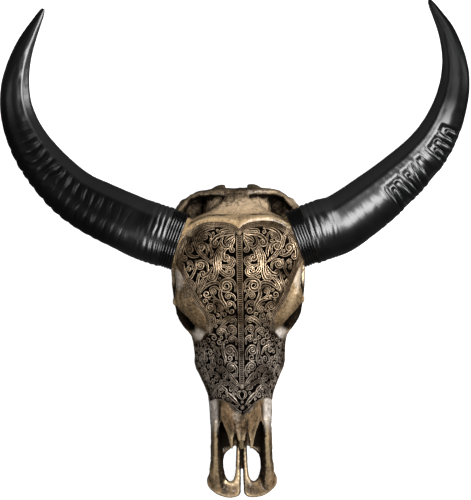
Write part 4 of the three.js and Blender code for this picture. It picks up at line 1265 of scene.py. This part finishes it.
def patina_group():
    """Bronze patina: dark where the Hollow mask says, which carries dirt and painted shade, mottled on broad
    surfaces and gold where it is rubbed or a painted highlight is laid.
    """
    group, entry, leave, nodes = new_group(
        "bronze patina",
        [("Place", "NodeSocketVector", None),
         ("Hollow", "NodeSocketFloat", 0.0),
         ("Wear", "NodeSocketFloat", 0.0),
         ("Flecks", "NodeSocketFloat", 1.0),
         ("Dark", "NodeSocketColor", BONE_DIRT_AND_SHADE),
         ("Middle", "NodeSocketColor", FOREHEAD_BROWN),
         ("Gold", "NodeSocketColor", BONE_GOLD)],
        [("Color", "NodeSocketColor"), ("Rubbed", "NodeSocketFloat"), ("Height", "NodeSocketFloat")])
    broad = nodes.noise(entry["Place"], 24.0, 5.0, 0.6)
    fine = nodes.noise(entry["Place"], 190.0, 4.0, 0.65)
    specks = nodes.noise(entry["Place"], 620.0, 2.0, 0.5)
    mottle = nodes.math("ADD", nodes.math("MULTIPLY", broad, 0.6), nodes.math("MULTIPLY", fine, 0.4))
    stain = nodes.blend(0.22, entry["Dark"], entry["Middle"])
    stained = nodes.blend(nodes.between(mottle, 0.4, 0.52), stain, entry["Middle"])
    gold_clouds = nodes.between(mottle, 0.54, 0.7, 0.0, 0.6)
    gold_grains = nodes.between(specks, 0.58, 0.7, 0.0, 0.55)
    gilt = nodes.math("MAXIMUM", gold_clouds, gold_grains)
    flecked = nodes.blend(nodes.math("MULTIPLY", gilt, entry["Flecks"]), stained, entry["Gold"])
    base = nodes.blend(nodes.between(specks, 0.42, 0.32, 0.0, 0.45), flecked, entry["Dark"])
    rubbed = nodes.math("MULTIPLY", entry["Wear"], nodes.between(fine, 0.3, 0.6, 0.35, 1.0))
    gilded = nodes.blend(rubbed, base, entry["Gold"])
    # Dirt and painted shade, from the Hollow mask.
    shaded = nodes.math("MULTIPLY", entry["Hollow"], nodes.between(fine, 0.25, 0.6, 1.3, 0.95))
    nodes.feed(leave["Color"], nodes.blend(shaded, gilded, entry["Dark"]))
    nodes.feed(leave["Rubbed"], rubbed)
    pits = nodes.math("MULTIPLY", specks, 0.3)
    nodes.feed(leave["Height"], nodes.math("ADD", nodes.math("MULTIPLY", fine, 0.7), pits))
    return group


def new_material(name, **values):
    """A material with its plain values set on its shader, and its node maker."""
    material = bpy.data.materials.new(name)
    material.use_nodes = True
    shader = material.node_tree.nodes["Principled BSDF"]
    for key, value in values.items():
        shader.inputs[key.replace("_", " ")].default_value = value
    return material, shader, Nodes(material.node_tree)


def bump(nodes, shader, height, strength, distance):
    """Small relief that only the light shows."""
    made = nodes.add("ShaderNodeBump", Height=height, Strength=strength, Distance=distance * MM)
    nodes.feed(shader.inputs["Normal"], made.outputs["Normal"])


def bone_material(patina):
    material, shader, nodes = new_material(
        "lacquered bone", Specular_IOR_Level=0.0, Coat_Roughness=0.21, Coat_IOR=1.6)
    place = nodes.place()
    along = nodes.add("ShaderNodeSeparateXYZ", Vector=place).outputs["Y"]
    toward_snout = nodes.between(along, -0.03, -0.16)
    toward_nape = nodes.between(along, 0.055, 0.085)
    toward_rim = nodes.between(along, 0.09, 0.1)
    drawn_out = nodes.add("ShaderNodeMapping", Vector=place, Scale=(1.0, 0.3, 1.0)).outputs["Vector"]
    streaks = nodes.between(nodes.noise(drawn_out, 70.0, 3.0, 0.6), 0.42, 0.6)
    bronze = nodes.blend(streaks, DARK_BRONZE, LIGHT_BRONZE)
    brown = nodes.blend(toward_snout, FOREHEAD_BROWN, bronze)
    nape = nodes.blend(toward_rim, NAPE_TAN, NAPE_RIM_BROWN)
    middle = nodes.blend(toward_nape, brown, nape)
    # hollow: dirt and painted shade.
    hollow = nodes.attribute("hollow")
    flecks = nodes.between(toward_snout, 0, 1, 1.0, 0.4)
    # Wear carries rubbed ridges and the painted highlight streaks.
    finish = nodes.add("ShaderNodeGroup", {"node_tree": patina}, Place=place, Hollow=hollow, Flecks=flecks,
                       Wear=nodes.attribute("wear"), Dark=BONE_DIRT_AND_SHADE, Middle=middle, Gold=BONE_GOLD)
    ivory = nodes.blend(nodes.attribute("tooth"), finish.outputs["Color"], TOOTH_IVORY)
    # Greyer lumps and painted pale reflections.
    greyed = nodes.blend(nodes.attribute("pale"), ivory, PALE_BONE_AND_REFLECTION)
    ground = nodes.attribute("ground")
    # Ground painted black: the shade seen through pierced openings, with dark patina.
    nodes.feed(shader.inputs["Base Color"], nodes.blend(ground, greyed, GROUND_SHADE_BLACK))
    nodes.feed(shader.inputs["Metallic"], nodes.between(finish.outputs["Rubbed"], 0, 1, 0.12, 0.8))
    nodes.feed(shader.inputs["Roughness"], nodes.between(finish.outputs["Rubbed"], 0, 1, 0.5, 0.24))
    dull = nodes.math("MAXIMUM", ground, hollow)
    gloss = nodes.between(toward_snout, 0, 1, 0.5, 0.28)
    nodes.feed(shader.inputs["Coat Weight"], nodes.between(dull, 0, 0.8, gloss, 0.0))
    bump(nodes, shader, finish.outputs["Height"], 0.5, 0.9)
    return material


def carving_material(patina):
    material, shader, nodes = new_material("gilded carving", Specular_IOR_Level=0.0)
    place = nodes.place()
    relief = nodes.attribute("relief")
    along = nodes.add("ShaderNodeSeparateXYZ", Vector=place).outputs["Y"]
    toward_snout = nodes.between(along, -0.09, -0.17)
    middle = nodes.blend(toward_snout, SCROLL_BROWN, FACE_SCROLL_BROWN)
    gold = nodes.blend(toward_snout, SCROLL_GOLD, FACE_SCROLL_GOLD)
    uneven = nodes.between(nodes.noise(place, 28.0, 4.0, 0.6), 0.42, 0.64, 0.06, 1.0)
    gilded = nodes.math("MULTIPLY", nodes.attribute("gilding"), uneven)
    rubbed = nodes.math("MULTIPLY", nodes.between(relief, 0.6, 1.0), gilded)
    # Hollow darkens the grooves and the ribbons' walls: dirt and painted shade.
    finish = nodes.add("ShaderNodeGroup", {"node_tree": patina}, Place=place,
                       Hollow=nodes.between(relief, 0.6, 0.1), Wear=rubbed, Flecks=gilded,
                       Dark=SCROLL_DIRT_AND_SHADE, Middle=middle, Gold=gold)
    nodes.feed(shader.inputs["Base Color"], finish.outputs["Color"])
    nodes.feed(shader.inputs["Metallic"], nodes.between(finish.outputs["Rubbed"], 0, 0.6))
    nodes.feed(shader.inputs["Roughness"], nodes.between(finish.outputs["Rubbed"], 0, 1, 0.55, 0.24))
    bump(nodes, shader, finish.outputs["Height"], 0.3, 0.5)
    return material


def horn_material():
    material, shader, nodes = new_material("black horn", Specular_IOR_Level=0.03, Coat_Roughness=0.24)
    place = nodes.place()
    inner = nodes.attribute("inner")
    along = nodes.attribute("along")
    cloud = nodes.noise(place, 26.0, 5.0, 0.6)
    streaks = nodes.noise(place, 240.0, 3.0, 0.6)
    black = nodes.blend(nodes.between(cloud, 0.4, 0.65), DEEP_HORN_BLACK, HORN_BLACK)
    dull_tip = nodes.between(along, 0.6, 0.75)
    matte = nodes.attribute("matte")
    faded = nodes.blend(nodes.math("MAXIMUM", matte, dull_tip), black, DULL_HORN_BLACK)
    greyed = nodes.blend(inner, faded, INNER_HORN_GREY)
    nodes.feed(shader.inputs["Base Color"], greyed)
    nodes.feed(shader.inputs["Roughness"], nodes.between(cloud, 0.35, 0.7, 0.28, 0.42))
    nodes.feed(shader.inputs["Coat Weight"], nodes.between(matte, 0, 1, 1.0, 0.04))
    bump(nodes, shader, nodes.math("ADD", streaks, nodes.math("MULTIPLY", cloud, 0.5)), 0.22, 0.8)
    return material


def cord_material():
    material, shader, nodes = new_material(
        "black cord", Specular_IOR_Level=0.0, Coat_Weight=1.0, Coat_Roughness=0.17)
    place = nodes.place()
    fibre = nodes.noise(place, 900.0, 3.0, 0.6)
    nodes.feed(shader.inputs["Base Color"], nodes.blend(fibre, DEEP_CORD_BLACK, CORD_BLACK))
    nodes.feed(shader.inputs["Roughness"], nodes.between(fibre, 0.3, 0.7, 0.4, 0.6))
    bump(nodes, shader, fibre, 0.2, 0.3)
    return material


# Studio, in metres. A light is given as its place, what it points at, its size and its power.

STUDIO_LIGHTS = {
    "main softbox": ((1.5, 0.8, 2.0), (0.05, 0, 0.12), (1.2, 1.2), 60),
    "top softbox": ((0.75, -0.15, 2.5), (0.1, 0.05, 0.12), (1.0, 1.35), 78),
    "front softbox": ((-0.65, -1.4, 1.9), (0, -0.1, 0.12), (0.8, 0.8), 28),
    "right strip": ((2.0, 0.3, 0.6), (0, 0.1, 0.14), (0.4, 1.4), 26),
    "left softbox": ((-1.7, -0.3, 1.6), (-0.1, 0, 0.12), (1.2, 1.2), 5),
}


def add_floor():
    """A pale floor that throws no light of its own on the skull."""
    shape = bmesh.new()
    bmesh.ops.create_grid(shape, x_segments=1, y_segments=1, size=6)
    mesh = mesh_from(shape, "floor")
    material, _, _ = new_material("pale floor", Base_Color=(0.4, 0.4, 0.4, 1), Roughness=0.9,
                                  Emission_Color=(1, 1, 1, 1), Emission_Strength=0.85)
    mesh.materials.append(material)
    floor = add_object("floor", mesh)
    floor.visible_diffuse = False
    floor.visible_glossy = False


def add_light(name, place, aim, size, power):
    data = bpy.data.lights.new(name, "AREA")
    data.shape = "RECTANGLE"
    data.size, data.size_y = size
    data.energy = power
    light = add_object(name, data)
    light.location = place
    light.rotation_euler = (Vector(aim) - Vector(place)).to_track_quat("-Z", "Y").to_euler()


def add_studio():
    world = bpy.data.worlds.new("studio")
    world.use_nodes = True
    backdrop = world.node_tree.nodes["Background"]
    backdrop.inputs["Color"].default_value = (1, 1, 1, 1)
    backdrop.inputs["Strength"].default_value = 0.08
    scene = bpy.context.scene
    scene.world = world
    scene.view_settings.view_transform = "Standard"
    for name, settings in STUDIO_LIGHTS.items():
        add_light(name, *settings)


def add_camera():
    data = bpy.data.cameras.new("camera")
    data.lens = 174.5
    data.sensor_width = 36
    camera = add_object("camera", data)
    camera.location = (-0.0037, 0.0087, 4.15)
    camera.rotation_euler = (0, 0, math.radians(-1.11))
    bpy.context.scene.camera = camera


# Assembly

skin = joined_bones()
wrap = Wrap(skin)
values = carve_bone(skin)
skin_points = mesh_points(skin)
bones = parted_bones(skin)
copy_attributes(bones, skin_points, values)

patina = patina_group()
bone_look = bone_material(patina)
carving_look = carving_material(patina)
horn_look = horn_material()
cord_look = cord_material()

for bone_name, bone_mesh in bones.items():
    add_piece(f"{bone_name}_surface", bone_mesh, bone_look, "carved_bone", bone_name)

for side_name, side in SIDES.items():
    rng = random.Random(CARVING_SEED + side)
    motifs = motif_strokes(side, rng)
    half_outline = carved_outline(side, BAND_WIDTH)
    scrolls = carved_mesh(motifs, SCROLL_GILDING_AND_SIDE_SHADE[side_name])
    add_piece(f"scrolls_{side_name}", scrolls, carving_look, "carved_bone")
    curls = fill_strokes(side, motifs, half_outline, rng)
    add_piece(f"small_curls_{side_name}", carved_mesh(curls, CURL_GILDING), carving_look, "carved_bone")
    horn_name, cord_name = f"horn_{side_name}", f"horn_binding_{side_name}"
    add_piece(f"{horn_name}_surface", horn_mesh(side_name), horn_look, "horn", horn_name)
    add_piece(f"{cord_name}_cord", binding_mesh(side_name), cord_look, "binding_cord", cord_name)

add_piece("beaded_border", carved_mesh(*border_parts()), carving_look, "carved_bone")
add_piece("centre_bar", carved_mesh(*centre_bar_parts()), carving_look, "carved_bone")

add_floor()
add_studio()
add_camera()
